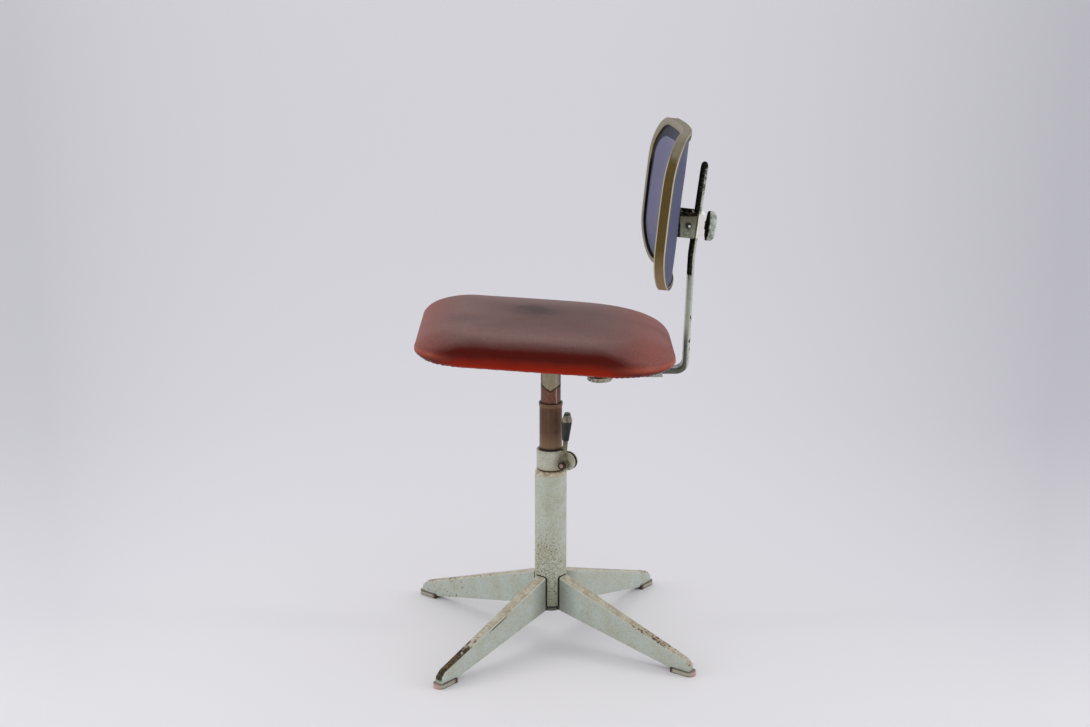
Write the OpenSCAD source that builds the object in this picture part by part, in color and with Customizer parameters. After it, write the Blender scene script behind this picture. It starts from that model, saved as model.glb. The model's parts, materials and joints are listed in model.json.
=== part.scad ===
// Drafting chair with a four-legged base, a telescopic column and a sliding backrest.
// Millimetres, +Z up. The origin is on the floor under the column's axis and the sitter faces -Y.

/* [Base] */
// Outside diameter of the column tube
column_d = 48.3; // [44:0.1:56]
// Wall of the column tube
column_wall = 2.6; // [2:0.1:3.2]
// Height of the column's shoulder above the floor
column_top = 264; // [245:1:300]
// Height of the column tube's lower edge
column_foot = 52; // [48:1:58]
// Radius of the rolled shoulder
shoulder_r = 5; // [3:0.5:6]
// Distance from the axis to the middle of a foot glide
foot_radius = 248; // [220:1:290]
// Turn of the first leg from the +X axis
leg_turn = -38.3; // [-45:0.1:-30]
// Thickness of the leg's sheet
leg_sheet = 2; // [1.5:0.1:2.5]
// Width of a leg at the column
leg_root_w = 19.4; // [17:0.1:22]
// Width of a leg at its tip
leg_tip_w = 12; // [10:0.1:14]
// Height of a leg's top at the column
leg_root_top = 98; // [85:1:110]
// Height of a leg's top where the nose begins
leg_tip_top = 25; // [21:1:30]
// Height of a leg's lower edge at the hub
leg_root_low = 47; // [42:1:50]
// Radius of the two folds along a leg
fold_r = 3.5; // [2.6:0.1:4]
// Dark gap round a leg where it enters the column
slot_gap = 0.75; // [0.4:0.05:0.9]
// Height of a foot glide's rim above the floor
glide_h = 7; // [6:0.5:9]
// Thickness of a foot glide under the leg
glide_floor = 3.2; // [2.5:0.1:4]
// Length of a foot glide
glide_l = 37; // [32:0.5:44]
// Width of a foot glide
glide_w = 19; // [17:0.5:23]

/* [Clamp] */
// Bore of the column bush, a running fit on the sleeve
bush_play = 0.05; // [0.02:0.01:0.09]
// Wall of the bush's split neck
neck_wall = 1.95; // [1.5:0.05:2.5]
// Length of the bush inside the column
bush_len = 28; // [22:1:34]
// Thickness of the clamp ring
collar_wall = 2.3; // [2:0.1:3]
// Height of the clamp ring
collar_h = 29.6; // [26:0.2:32]
// Gap between the column's shoulder and the clamp ring
collar_gap = 2.6; // [1:0.1:4]
// Angle of the ring's split from the +X axis
split_turn = 60; // [50:1:70]
// Opening between the two ears
split_gap = 3; // [2:0.5:4]
// Thickness of an ear
ear_t = 3; // [2.5:0.1:3.5]
// Reach of an ear from the column's axis
ear_reach = 44; // [40:0.5:48]
// Distance of the clamp bolt from the column's axis
bolt_reach = 28; // [27.5:0.5:30]
// Height of the clamp bolt above the foot of the clamp ring
bolt_rise = 10.4; // [9:0.2:14]
// Diameter of the clamp bolt
bolt_d = 8; // [6:0.5:9]
// Diameter of the lever's rod in the grip
lever_rod_d = 7.5; // [6:0.5:8]
// Diameter of the lever's rod at the bolt
lever_foot_d = 5.5; // [4.5:0.5:6]
// Length of the rod from the bolt to the grip
lever_len = 39; // [34:1:46]
// Lean of the lever from upright
lever_lean = 4; // [0:1:10]
// Length of the grip
grip_len = 43; // [36:1:50]
// Widest diameter of the grip
grip_d = 17; // [14:0.5:19]

/* [Sleeve and post] */
// Outside diameter of the sliding sleeve
sleeve_d = 34; // [32:0.1:36]
// Outside diameter of the seat post
post_d = 30; // [27:0.1:30.5]
// Radial play of the post in the sleeve
post_play = 0.05; // [0.02:0.01:0.09]
// Height of the sleeve's rim
rim_z = 369.5; // [355:0.5:380]
// Length of the sleeve
sleeve_len = 197; // [185:1:205]
// Swell of the sleeve's rim beyond the tube
rim_flare = 1; // [0.6:0.1:1.6]
// Radial play of the guide ring in the column
ring_play = 0.08; // [0.03:0.01:0.09]
// Length of the guide ring
ring_len = 15; // [10:1:18]
// Wall of the seat post
post_wall = 2.5; // [2:0.1:3]

/* [Seat] */
// Height of the cover's lower edge over the column's axis
seat_z = 455; // [450:1:490]
// Tilt of the seat, front edge up
seat_tilt = 4.1; // [2:0.1:6]
// Half width of the seat
seat_half_w = 179; // [165:1:200]
// Reach of the seat to the front
seat_front = 198; // [180:1:215]
// Reach of the seat to the back
seat_back = 182; // [170:1:184]
// Corner radius at the front
seat_front_r = 80; // [60:1:100]
// Corner radius at the back
seat_back_r = 114; // [90:1:130]
// Width of the rolled shoulder of the cushion
roll_in = 60; // [45:1:75]
// Height of the rolled shoulder of the cushion
roll_h = 34; // [26:1:40]
// Rise of the crown inside the shoulder
crown_h = 8; // [4:1:12]
// Thickness of the seat shell
shell_t = 10; // [6:0.5:12]
// Distance of the shell's edge from the cover's edge
shell_in = 12; // [10:1:16]
// Width of the cover's hem under the shell
hem_w = 14; // [8:1:20]
// Thickness of the hem under the shell
hem_t = 3; // [2:0.5:4]
// Thickness of the pressed seat carrier
carrier_t = 2.5; // [2:0.1:3]

/* [Back bar] */
// Width of the back bar
bar_w = 28; // [24:0.5:32]
// Thickness of the back bar
bar_t = 9; // [7:0.5:10]
// Drop of the bar's level part below the cover's lower edge
bar_drop = 36; // [33:0.5:39]
// Distance of the bar's heel from the column's axis
bar_reach = 199.4; // [199:0.2:210]
// Inside radius of the bar's bend
bend_r = 10.5; // [8:0.5:16]
// Lean of the bar below the kink
lean_low = 2.05; // [0:0.05:4]
// Lean of the bar above the kink
lean_high = 7.2; // [4:0.1:9]
// Rise of the kink above the bar's level part
kink_rise = 172; // [150:1:180]
// Rise of the bar's top above the kink
top_rise = 138; // [134:1:155]
// Radius of the kink
kink_r = 90; // [40:5:150]
// Thickness of the saddle behind the bar
saddle_wall = 5.4; // [4:0.2:6]
// Play between the bar and its guide or carriage
bar_play = 0.35; // [0.3:0.05:0.6]
// Wall of the bar's guide under the seat
guide_wall = 2.2; // [1.8:0.1:2.6]
// Distance from the axis to the guide's front end
guide_front = 62; // [60:1:66]
// Distance from the axis to the guide's rear end
guide_back = 165; // [150:1:168]

/* [Knobs] */
// Distance from the axis to the lock knob under the seat
depth_knob_y = 73; // [72:1:100]
// Diameter of the lock knob under the seat
depth_knob_d = 38; // [32:1:40]
// Height of the lock knob under the seat
depth_knob_h = 9.5; // [8:0.5:12]
// Diameter of the lock knob behind the bar
height_knob_d = 44; // [38:1:48]
// Thickness of the lock knob behind the bar
height_knob_t = 12; // [11:0.5:17]
// Number of lobes on the lock knob behind the bar
lobes = 7; // [5:1:10]
// Diameter of both lock screws
screw_d = 8; // [6:0.5:10]
// Radial play of both lock screws in their threads
screw_play = 0.05; // [0.02:0.01:0.09]

/* [Backrest] */
// Half width of the backrest
back_half_w = 165; // [150:1:180]
// Height of the backrest
back_h = 220; // [200:1:240]
// Corner radius of the backrest
back_r = 65; // [50:1:80]
// Depth of the backrest's hollow over its width
back_hollow = 28; // [20:1:36]
// Forward bow of the backrest over its height
back_bow = 2.4; // [1:0.2:4]
// Recline of the backrest
recline = 6.1; // [2:0.1:9]
// Depth of the rubber edge from front to back
trim_d = 15; // [14.4:0.2:18]
// Width of the rubber edge on the front
trim_w = 6.4; // [6:0.2:10]
// Thickness of the backrest's shell
back_shell_t = 5; // [4:0.5:5.5]
// Depth of the pad's border behind the face of the rubber edge
border_sunk = 4.5; // [3:0.5:5]
// Rise of the pad's middle above its border
pad_rise = 3; // [1:0.5:4]
// Width of the pad's border
border_w = 17; // [12:1:24]
// Thickness of the front pad at its border
pad_t = 2.5; // [2:0.5:3]
// Thickness of the rear cover
rear_cover_t = 2; // [1.5:0.1:2.5]
// Distance of the pivot pin in front of the bar's middle
pivot_ahead = 12.6; // [12.5:0.1:14]
// Distance of the pivot pin above the kink, along the bar
pivot_rise = 46.8; // [40:0.2:60]
// Distance of the backrest's face in front of the pivot pin
face_ahead = 29.4; // [27:0.2:32]
// Distance of the backrest's middle above the pivot pin
face_rise = 28.6; // [20:0.2:40]
// Diameter of the pivot pin
pin_d = 6; // [5:0.5:9]
// Thickness of the bracket's sheet
bracket_t = 2.5; // [2:0.1:3]
// Height of the bracket
bracket_h = 37; // [34:1:42]

/* [Hidden] */
$fn = 64;

paint = "#a9b2a4";
worn_steel = "#5d5347";
bright_steel = "#c9c7bf";
bakelite = "#22211f";
brown_tube = "#5a4030";
red_vinyl = "#a8371f";
plywood = "#b58a58";
blue_vinyl = "#5a5f92";
rubber = "#978f74";

big = 600;                // reach of a cutting block
eps = 0.01;               // overlap of a cut with the face it opens
column_r = column_d / 2;
column_bore_r = column_r - column_wall;
legs = 4;

// Hub and legs
hub_face = 14;            // distance of the leg roots from the axis
hub_bore_r = 6;
cap_r = 17;
cap_h = 5.5;
cap_boss_h = 10;
nose_r = foot_radius + 2;                 // where the top of a leg turns down
tip_r = foot_radius + 13;                 // outer end of a leg's nose
nose_low = 15;                            // height where the nose's end face begins
open_low = 4;                             // how far the channel's hollow cuts below its edges
leg_slope = (leg_root_top - leg_tip_top) / (nose_r - column_r);
function leg_top(r) = leg_root_top - (r - column_r) * leg_slope;
hub_top = leg_root_top - 2;
foot_half = 13;           // half length of a leg's flat foot
spigot_l = 16;
spigot_h = 8;
cup_play = 0.3;           // gap between a leg's tip and its glide

// Clamp
sleeve_r = sleeve_d / 2;
bush_bore_r = sleeve_r + bush_play;
neck_r = bush_bore_r + neck_wall;
neck_slits = 3;
neck_foot = column_top - shoulder_r;
bush_foot = neck_foot - bush_len;
collar_foot = column_top + collar_gap;
collar_top = collar_foot + collar_h;
collar_r = neck_r + collar_wall;
ear_r = collar_h / 2 - 1;
bolt_z = collar_foot + bolt_rise;
bolt_r = bolt_d / 2;
ear_in = split_gap / 2;
ear_out = ear_in + ear_t;
nut_h = 6;
nut_across = 13;
eye_r = 6.5;
eye_t = lever_rod_d + 1;
eye_gap = 0.4;            // running gap between the ear and the lever's eye
eye_mid = ear_out + eye_gap + eye_t / 2;
bolt_head_t = 4;
bolt_head_r = 5.6;
grip_end_d = 10.5;
grip_top_d = 8.5;
grip_sides = 8;
grip_swell = 0.72;        // where along its length the grip is widest
rod_in_grip = 6;

// Sleeve and post
sleeve_bore_r = post_d / 2 + post_play;
sleeve_foot = rim_z - sleeve_len;
plug_h = 8;
washer_h = 2;
post_foot = sleeve_foot + plug_h + washer_h + 0.3;

// Seat, in the tilted frame of the seat
bar_z = seat_z - bar_drop;
plate_t = hem_t;          // the plate is as thick as the hem, so both meet the shell's underside
plate_half_w = 75;
plate_front = 90;
plate_back = 100;
plate_r = 12;
screw_x = 60;
screw_y = 78;
wood_screw_r = 2.6;
wood_screw_depth = 7;
guide_half_w = bar_w / 2 + bar_play + guide_wall;
guide_top = bar_z + bar_t / 2 + bar_play + guide_wall;
guide_low = bar_z - bar_t / 2 - bar_play - guide_wall;
carrier_front = 70;
carrier_half_w = guide_half_w + carrier_t;
carrier_nose = 16;        // drop of the carrier's front corner below the cover's edge
carrier_heel = 5;         // the lower edge turns up this far in front of the post
carrier_rise = 8;         // and this far above the guide's underside
side_z = 6;               // height of the cushion's widest line
hem_tuck = 8;             // how far the cushion's underside is drawn in
crown_steps = [[0.45, 0.55], [0.12, 1]];  // scale of the outline and share of the crown's rise

// Bar
bend_mid_r = bend_r + bar_t / 2;
bar_lap = 0.3;            // how far a straight stretch of the bar reaches into its bends
bend_proud = 0.02;        // the bends and the round end stand this proud, so that the solids fuse
kink_z = bar_z + kink_rise;
kink_y = bar_reach + kink_rise * tan(lean_low);
bar_front_end = 21;
stop_y = bar_front_end + 5;
stop_r = 4;
stop_h = 4;

// Carriage, in the frame of the bar above the kink
carriage_h = 35;
carriage_wall = 3.1;
carriage_half_w = bar_w / 2 + bar_play + carriage_wall;
carriage_half_t = bar_t / 2 + bar_play + carriage_wall;
lug_r = 6;
lug_half_w = 13;
saddle_seam = 0.5;        // the block ends and the saddle begins this far behind the bar's middle
saddle_back = bar_t / 2 + bar_play + saddle_wall;
height_boss_r = 7.5;
height_boss_t = 1.6;
knob_gap = 0.3;           // gap between a knob and its boss

// Backrest, in the frame of the pivot pin
cheek_gap = 0.5;          // side play between the carriage and a cheek
cheek_in = carriage_half_w + cheek_gap;
cheek_out = cheek_in + bracket_t;
cheek_reach = 10.7;       // how far a cheek runs behind the pivot pin
bracket_low = -bracket_h / 2;
face_r = (back_half_w * back_half_w + back_hollow * back_hollow) / (2 * back_hollow);
bow_r = (back_h * back_h / 4 + back_bow * back_bow) / (2 * back_bow);
shell_in_r = face_r + border_sunk + pad_t;
rear_face_r = shell_in_r + back_shell_t + rear_cover_t;
web_end = face_rise + bracket_h / 2;      // the bracket's lower end, from the backrest's middle
web_bow = web_end * web_end / (2 * (face_r + bow_r - rear_face_r));  // the bow sets the cover back there
web_play = 0.02;                          // and the web stands this clear of it
web_face = -face_ahead + (rear_face_r - face_r) + web_bow + web_play;
trim_lap = 4;             // how far the shell's edge runs into the rubber edge
pad_edge_play = 0.3;
rivet_r = 2.5;
rivet_head_r = 4.6;
rivet_head_h = 2.2;
rivet_x = 10;
rivet_z = 14;

// ---- shared forms ----

// Puts children at leg number i, with X along the leg
module at_leg(i) rotate([0, 0, leg_turn + 360 / legs * i]) children();

// Extrudes a drawing of the (Y, Z) plane to a width across X
module side_view(width)
  rotate([90, 0, 90]) translate([0, 0, -width / 2]) linear_extrude(width) children();

// Extrudes a drawing of the (X, Z) plane from depth y0 to y1
module front_view(y0, y1)
  translate([0, y1, 0]) rotate([90, 0, 0]) linear_extrude(y1 - y0) children();

// Rod across X
module cross_rod(r, half_len) rotate([0, 90, 0]) cylinder(r = r, h = 2 * half_len, center = true);

// Rectangle about the origin with round corners
module round_rect(half_w, half_h, r) {
  square([2 * (half_w - r), 2 * half_h], center = true);
  square([2 * half_w, 2 * (half_h - r)], center = true);
  for (x = [-1, 1], y = [-1, 1])
    translate([x * (half_w - r), y * (half_h - r)]) circle(r);
}

// Frame of the split of the clamp: X runs outwards, Y along the bolt towards the lever's side
module at_split() rotate([0, 0, split_turn]) mirror([0, 1, 0]) children();

// Frame of the seat's underside
module on_seat() translate([0, 0, seat_z]) rotate([-seat_tilt, 0, 0]) children();

// Everything below height h of the seat's frame
module below_seat(h)
  on_seat() translate([-big / 2, -big / 2, h - big]) cube(big);

// Frame of the bar above the kink: Z along the bar, Y behind it
module on_bar() translate([0, kink_y, kink_z]) rotate([-lean_high, 0, 0]) children();

// Frame of the pivot pin, turned to the backrest's recline
module on_pivot()
  on_bar() translate([0, -pivot_ahead, pivot_rise]) rotate([lean_high - recline, 0, 0]) children();

// ---- standing part ----

module column_tube() color(paint) {
  difference() {
    rotate_extrude() difference() {
      union() {
        translate([0, column_foot]) square([column_r, column_top - shoulder_r - column_foot]);
        translate([0, column_top - shoulder_r]) square([column_r - shoulder_r, shoulder_r]);
        translate([column_r - shoulder_r, column_top - shoulder_r])
          intersection() {
            circle(shoulder_r);
            square(shoulder_r);
          }
      }
      translate([0, column_foot - 1]) square([column_bore_r, column_top - shoulder_r - column_foot + 1]);
      translate([0, column_foot]) square([neck_r, big]);
    }
    for (i = [0:legs - 1]) at_leg(i) leg_slot();
  }
}

// Opening in the column for one leg
module leg_slot() {
  half_w = leg_root_w / 2 + slot_gap;
  top = leg_top(column_bore_r) + slot_gap;
  corner = fold_r + slot_gap;
  translate([hub_face, 0, 0]) side_slot(half_w, column_foot - 1, top, corner);
}

// Slot that is cut outwards along X, with round upper corners
module side_slot(half_w, low, top, corner)
  rotate([90, 0, 90]) linear_extrude(column_r) {
    translate([-half_w, low]) square([2 * half_w, top - corner - low]);
    translate([-half_w + corner, low]) square([2 * (half_w - corner), top - low]);
    for (y = [-1, 1]) translate([y * (half_w - corner), top - corner]) circle(corner);
  }

module leg_hub() color(paint) difference() {
  translate([0, 0, leg_root_low]) cylinder(r = column_bore_r, h = hub_top - leg_root_low);
  translate([0, 0, leg_root_low - 1]) cylinder(r = hub_bore_r, h = big);
  for (i = [0:legs - 1]) at_leg(i)
    translate([hub_face, -leg_root_w / 2, 0]) cube([column_r, leg_root_w, big]);
}

module base_cap() color(paint) {
  translate([0, 0, leg_root_low - cap_h]) cylinder(r = cap_r, h = cap_h);
  translate([0, 0, leg_root_low]) cylinder(r = hub_bore_r, h = cap_boss_h);
}

// Closed form of a leg, drawn in by inset on all sides but the underside
module leg_form(inset, root_x, low) {
  fold = fold_r - inset;
  root_y = leg_root_w / 2 - inset - fold;
  tip_y = leg_tip_w / 2 - inset - fold;
  hull() {
    for (y = [-1, 1]) {
      translate([root_x, y * root_y, leg_top(root_x) - inset - fold])
        rotate([0, 90, 0]) cylinder(r = fold, h = 1, $fn = 24);
      translate([nose_r - inset, y * tip_y, leg_tip_top - inset - fold]) sphere(fold, $fn = 24);
      translate([tip_r - inset - fold, y * tip_y, nose_low - inset]) sphere(fold, $fn = 24);
    }
    translate([root_x, -leg_root_w / 2 + inset, leg_root_low - low])
      cube([1, leg_root_w - 2 * inset, 1]);
    translate([foot_radius - foot_half, -leg_tip_w / 2 + inset, glide_floor - low])
      cube([foot_half + tip_r - foot_radius - inset - 1, leg_tip_w - 2 * inset, 1]);
  }
}

// Folded channel, open below and at the hub
module leg(i) color(paint) at_leg(i) difference() {
  leg_form(0, hub_face, 0);
  leg_form(leg_sheet, hub_face - 1, open_low);
}

// Moulded cup that the leg's tip stands in, open towards the column, with a spigot inside the channel
module glide(i) color(rubber) at_leg(i) translate([foot_radius, 0, 0]) {
  pocket_end = tip_r - foot_radius + cup_play;
  difference() {
    linear_extrude(glide_h) {
      translate([-glide_l / 2, -glide_w / 2]) square([glide_l - glide_w / 2, glide_w]);
      translate([(glide_l - glide_w) / 2, 0]) circle(d = glide_w);
    }
    translate([-glide_l, -leg_tip_w / 2 - cup_play, glide_floor])
      cube([glide_l + pocket_end, leg_tip_w + 2 * cup_play, glide_h]);
  }
  translate([-spigot_l / 2, -leg_tip_w / 2 + leg_sheet + cup_play, glide_floor - eps])
    cube([spigot_l, leg_tip_w - 2 * (leg_sheet + cup_play), spigot_h]);
}

module column_bush() color(worn_steel) difference() {
  union() {
    translate([0, 0, bush_foot]) cylinder(r = column_bore_r, h = bush_len);
    translate([0, 0, neck_foot]) cylinder(r = neck_r, h = collar_top + 1 - neck_foot);
  }
  translate([0, 0, bush_foot - 1]) cylinder(r = bush_bore_r, h = big);
  for (k = [0:neck_slits - 1]) rotate([0, 0, split_turn + 360 / neck_slits * k])
    translate([bush_bore_r / 2, -split_gap / 2, collar_foot + 2]) cube([neck_r, split_gap, collar_h + 4]);
}

module clamp_collar() color(paint) difference() {
  union() {
    translate([0, 0, collar_foot]) cylinder(r = collar_r, h = collar_h);
    at_split() for (side = [-1, 1]) scale([1, side, 1]) clamp_ear();
  }
  translate([0, 0, collar_foot - 1]) cylinder(r = neck_r, h = big);
  at_split() {
    translate([0, -ear_in, collar_foot - 1]) cube([big, 2 * ear_in, collar_h + 2]);
    translate([bolt_reach, 0, bolt_z]) rotate([90, 0, 0])
      cylinder(r = bolt_r + bush_play, h = 2 * ear_out + 2, center = true);
  }
}

// One ear of the clamp ring, a plate with a round end
module clamp_ear() translate([0, ear_out, collar_foot + ear_r + 1]) rotate([90, 0, 0])
  linear_extrude(ear_t) {
    translate([ear_reach - ear_r, 0]) circle(ear_r);
    translate([neck_r, -ear_r]) square([ear_reach - ear_r - neck_r, 2 * ear_r]);
  }

module clamp_nut() color(worn_steel) at_split()
  translate([bolt_reach, -ear_out, bolt_z]) rotate([90, 0, 0]) difference() {
    cylinder(d = nut_across, h = nut_h, $fn = 6);
    translate([0, 0, -1]) cylinder(r = bolt_r + bush_play, h = nut_h + 2);
  }

// ---- clamp lever ----

module clamp_bolt() color(worn_steel) at_split() translate([bolt_reach, 0, bolt_z]) {
  tail = ear_out + nut_h + 1.5;
  head = eye_mid + eye_t / 2;
  translate([0, -tail, 0]) rotate([-90, 0, 0]) cylinder(r = bolt_r, h = tail + head);
  translate([0, head, 0]) rotate([-90, 0, 0]) cylinder(r = bolt_head_r, h = bolt_head_t);
}

// Frame of the lever: Z runs up the rod from the bolt
module on_lever() at_split()
  translate([bolt_reach, eye_mid, bolt_z]) rotate([0, lever_lean, 0]) children();

module clamp_lever() color(worn_steel) on_lever() difference() {
  union() {
    rotate([90, 0, 0]) cylinder(r = eye_r, h = eye_t, center = true);
    cylinder(d1 = lever_foot_d, d2 = lever_rod_d, h = lever_len);
    translate([0, 0, lever_len - eps]) cylinder(d = lever_rod_d, h = rod_in_grip);
  }
  rotate([90, 0, 0]) cylinder(r = bolt_r, h = eye_t + 2, center = true);
}

module lever_grip() color(bakelite) on_lever() translate([0, 0, lever_len]) difference() {
  union() {
    cylinder(d1 = grip_end_d, d2 = grip_d, h = grip_len * grip_swell, $fn = grip_sides);
    translate([0, 0, grip_len * grip_swell])
      cylinder(d1 = grip_d, d2 = grip_top_d, h = grip_len * (1 - grip_swell), $fn = grip_sides);
  }
  translate([0, 0, -1]) cylinder(d = lever_rod_d, h = rod_in_grip + 1);
}

// ---- sliding sleeve ----

module sleeve_tube() color(brown_tube) rotate_extrude() polygon([
  [sleeve_bore_r, sleeve_foot],
  [sleeve_r, sleeve_foot],
  [sleeve_r, rim_z - 8],
  [sleeve_r + rim_flare, rim_z - 3.5],
  [sleeve_r + rim_flare, rim_z - 0.8],
  [sleeve_r + rim_flare - 0.6, rim_z],
  [sleeve_r - 0.8, rim_z],
  [sleeve_bore_r, rim_z - 1.2]
]);

module guide_ring() color(bright_steel) translate([0, 0, sleeve_foot]) difference() {
  cylinder(r = column_bore_r - ring_play, h = ring_len);
  translate([0, 0, -1]) cylinder(r = sleeve_r, h = ring_len + 2);
}

module sleeve_plug() color(worn_steel) translate([0, 0, sleeve_foot])
  cylinder(r = sleeve_bore_r, h = plug_h);

module thrust_washer() color(bright_steel) translate([0, 0, sleeve_foot + plug_h]) difference() {
  cylinder(r = sleeve_bore_r - 0.5, h = washer_h);
  translate([0, 0, -1]) cylinder(r = 5, h = washer_h + 2);
}

// ---- seat ----

// Tube that turns in the sleeve, cut to the seat's tilt at its top
module seat_post() color(paint) intersection() {
  translate([0, 0, post_foot]) difference() {
    cylinder(d = post_d, h = seat_z);
    translate([0, 0, -1]) cylinder(r = post_d / 2 - post_wall, h = big);
  }
  below_seat(-carrier_t);
}

module seat_carrier() color(paint) difference() {
  intersection() {
    side_view(2 * carrier_half_w) polygon([
      [-carrier_front, seat_z + 40],
      [guide_back, seat_z + 40],
      [guide_back, guide_low],
      [guide_front, guide_low],
      [-post_d / 2 - carrier_heel, guide_low + carrier_rise],
      [-carrier_front, seat_z - carrier_nose]
    ]);
    below_seat(0);
  }
  intersection() {
    translate([-guide_half_w, -big / 2, 0]) cube([2 * guide_half_w, big, big]);
    below_seat(-carrier_t);
  }
}

module bar_guide() color(paint) {
  boss_h = 2.5;
  length = guide_back - guide_front;
  difference() {
    union() {
      translate([-guide_half_w, guide_front, guide_low])
        cube([2 * guide_half_w, length, guide_top - guide_low]);
      translate([0, depth_knob_y, guide_low - boss_h]) cylinder(r = screw_d, h = boss_h + eps);
    }
    translate([-bar_w / 2 - bar_play, guide_front - 1, guide_low + guide_wall])
      cube([bar_w + 2 * bar_play, length + 2, bar_t + 2 * bar_play]);
    translate([0, depth_knob_y, guide_low - boss_h - 1])
      cylinder(r = screw_d / 2 + screw_play, h = boss_h + guide_wall + 2);
  }
}

module seat_screw_holes(r, low, high)
  for (x = [-1, 1], y = [-1, 1])
    translate([x * screw_x, y * screw_y, low]) cylinder(r = r, h = high - low);

module seat_plate() color(paint) on_seat() difference() {
  translate([0, (plate_back - plate_front) / 2, 0])
    linear_extrude(plate_t) round_rect(plate_half_w, (plate_back + plate_front) / 2, plate_r);
  seat_screw_holes(wood_screw_r, -1, plate_t + 1);
}

module seat_screws() color(worn_steel) on_seat() {
  seat_screw_holes(wood_screw_r, -1, plate_t + wood_screw_depth);
  seat_screw_holes(wood_screw_r * 2, -2.5, 0);
}

// Outline of the seat, drawn in by inset
module seat_outline(inset) {
  half_w = seat_half_w - inset;
  front = -seat_front + inset;
  back = seat_back - inset;
  fr = seat_front_r - inset;
  br = seat_back_r - inset;
  translate([-half_w + fr, front]) square([2 * (half_w - fr), fr]);
  translate([-half_w, front + fr]) square([2 * half_w, back - br - front - fr]);
  translate([-half_w + br, back - br]) square([2 * (half_w - br), br]);
  for (x = [-1, 1]) {
    translate([x * (half_w - fr), front + fr]) circle(fr);
    translate([x * (half_w - br), back - br]) circle(br);
  }
}

module seat_shell() color(plywood) on_seat() difference() {
  translate([0, 0, hem_t]) linear_extrude(shell_t) seat_outline(shell_in);
  seat_screw_holes(wood_screw_r, hem_t - 1, plate_t + wood_screw_depth);
}

// Padding and cover: a rolled shoulder round a low crown, hemmed under the shell
module seat_cushion() color(red_vinyl) on_seat() difference() {
  hull() {
    linear_extrude(eps) seat_outline(hem_tuck, $fn = 32);
    translate([0, 0, side_z]) linear_extrude(eps) seat_outline(0, $fn = 32);
    for (a = [15:15:75])
      translate([0, 0, side_z + roll_h * sin(a)])
        linear_extrude(eps) seat_outline(roll_in * (1 - cos(a)), $fn = 32);
    for (step = crown_steps)
      translate([0, 0, side_z + roll_h + crown_h * step[1]])
        linear_extrude(eps) scale(step[0]) seat_outline(0, $fn = 32);
  }
  translate([0, 0, hem_t]) linear_extrude(shell_t) seat_outline(shell_in);
  translate([0, 0, -1]) linear_extrude(hem_t + 2) seat_outline(shell_in + hem_w);
}

// ---- back bar ----

// Direction in the (Y, Z) plane that has turned by a degrees from level
function heading(a) = [cos(a), sin(a)];

// Section of the bar: a strip of thickness t with full-round edges, its width along Y
module bar_section(t) {
  square([t, bar_w - bar_t], center = true);
  for (y = [-1, 1]) translate([0, y * (bar_w - bar_t) / 2]) circle(d = t);
}

// Straight stretch of the bar from point p of the (Y, Z) plane, along heading a
module bar_straight(p, a, length)
  translate([0, p.x, p.y]) rotate([a - 90, 0, 0]) translate([0, 0, -bar_lap])
    linear_extrude(length + 2 * bar_lap) rotate(90) bar_section(bar_t);

// Bend of the bar about centre c, from the ray at a0 to the ray at a1
module bar_bend(c, a0, a1, r)
  translate([0, c.x, c.y]) rotate([90, 0, 90]) rotate(a0)
    rotate_extrude(angle = a1 - a0, $fn = 128) translate([r, 0]) bar_section(bar_t + 2 * bend_proud);

// Round end of the bar, half a disc with a full-round rim
module bar_end(p, a)
  translate([0, p.x, p.y]) rotate([a - 90, 0, 0]) rotate([90, 0, 0]) rotate_extrude(angle = 180)
    intersection() {
      rotate(90) bar_section(bar_t + 2 * bend_proud);
      translate([0, -bar_t]) square([bar_w, 2 * bar_t]);
    }

// Strip that runs level, bends up, leans back a little and leans back further above the kink
module back_bar() color(paint) difference() {
  low = 90 - lean_low;
  high = 90 - lean_high;
  heel_cut = bend_mid_r * tan(low / 2);
  kink_cut = kink_r * tan((low - high) / 2);
  heel = [bar_reach, bar_z];
  kink = [kink_y, kink_z];
  heel_end = heel + heel_cut * heading(low);
  kink_start = kink - kink_cut * heading(low);
  kink_end = kink + kink_cut * heading(high);
  top = kink + (top_rise / cos(lean_high) - bar_w / 2) * heading(high);
  union() {
    bar_straight([bar_front_end, bar_z], 0, bar_reach - heel_cut - bar_front_end);
    bar_bend(heel - heel_cut * heading(0) + bend_mid_r * heading(90), -90, low - 90, bend_mid_r);
    bar_straight(heel_end, low, norm(kink_start - heel_end));
    bar_bend(kink_start - kink_r * heading(low + 90), high + 90, low + 90, kink_r);
    bar_straight(kink_end, high, norm(top - kink_end));
    bar_end(top, high);
  }
  translate([0, stop_y, bar_z - 1]) cylinder(r = stop_r / 2, h = bar_t);
}

module bar_stop() color(worn_steel) translate([0, stop_y, bar_z]) {
  translate([0, 0, -1]) cylinder(r = stop_r / 2, h = bar_t / 2 + 1 + eps);
  translate([0, 0, bar_t / 2]) cylinder(r = stop_r, h = stop_h);
}

// ---- depth lock ----

depth_knob_top = guide_low - knob_gap;
depth_knob_cap = 2.5;     // wall of the knob below its screw

module depth_knob() color(paint) translate([0, depth_knob_y, depth_knob_top]) rotate([180, 0, 0]) difference() {
  rotate_extrude() knob_section(depth_knob_d / 2, depth_knob_h, 1, 3);
  translate([0, 0, -1]) cylinder(r = screw_d + 1, h = 4);
  translate([0, 0, -1]) cylinder(r = screw_d / 2, h = depth_knob_h - depth_knob_cap + 1);
}

module depth_screw() color(worn_steel)
  translate([0, depth_knob_y, depth_knob_top - depth_knob_h + depth_knob_cap])
    cylinder(r = screw_d / 2, h = depth_knob_h - depth_knob_cap + guide_wall + bar_play);

// ---- carriage ----

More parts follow.
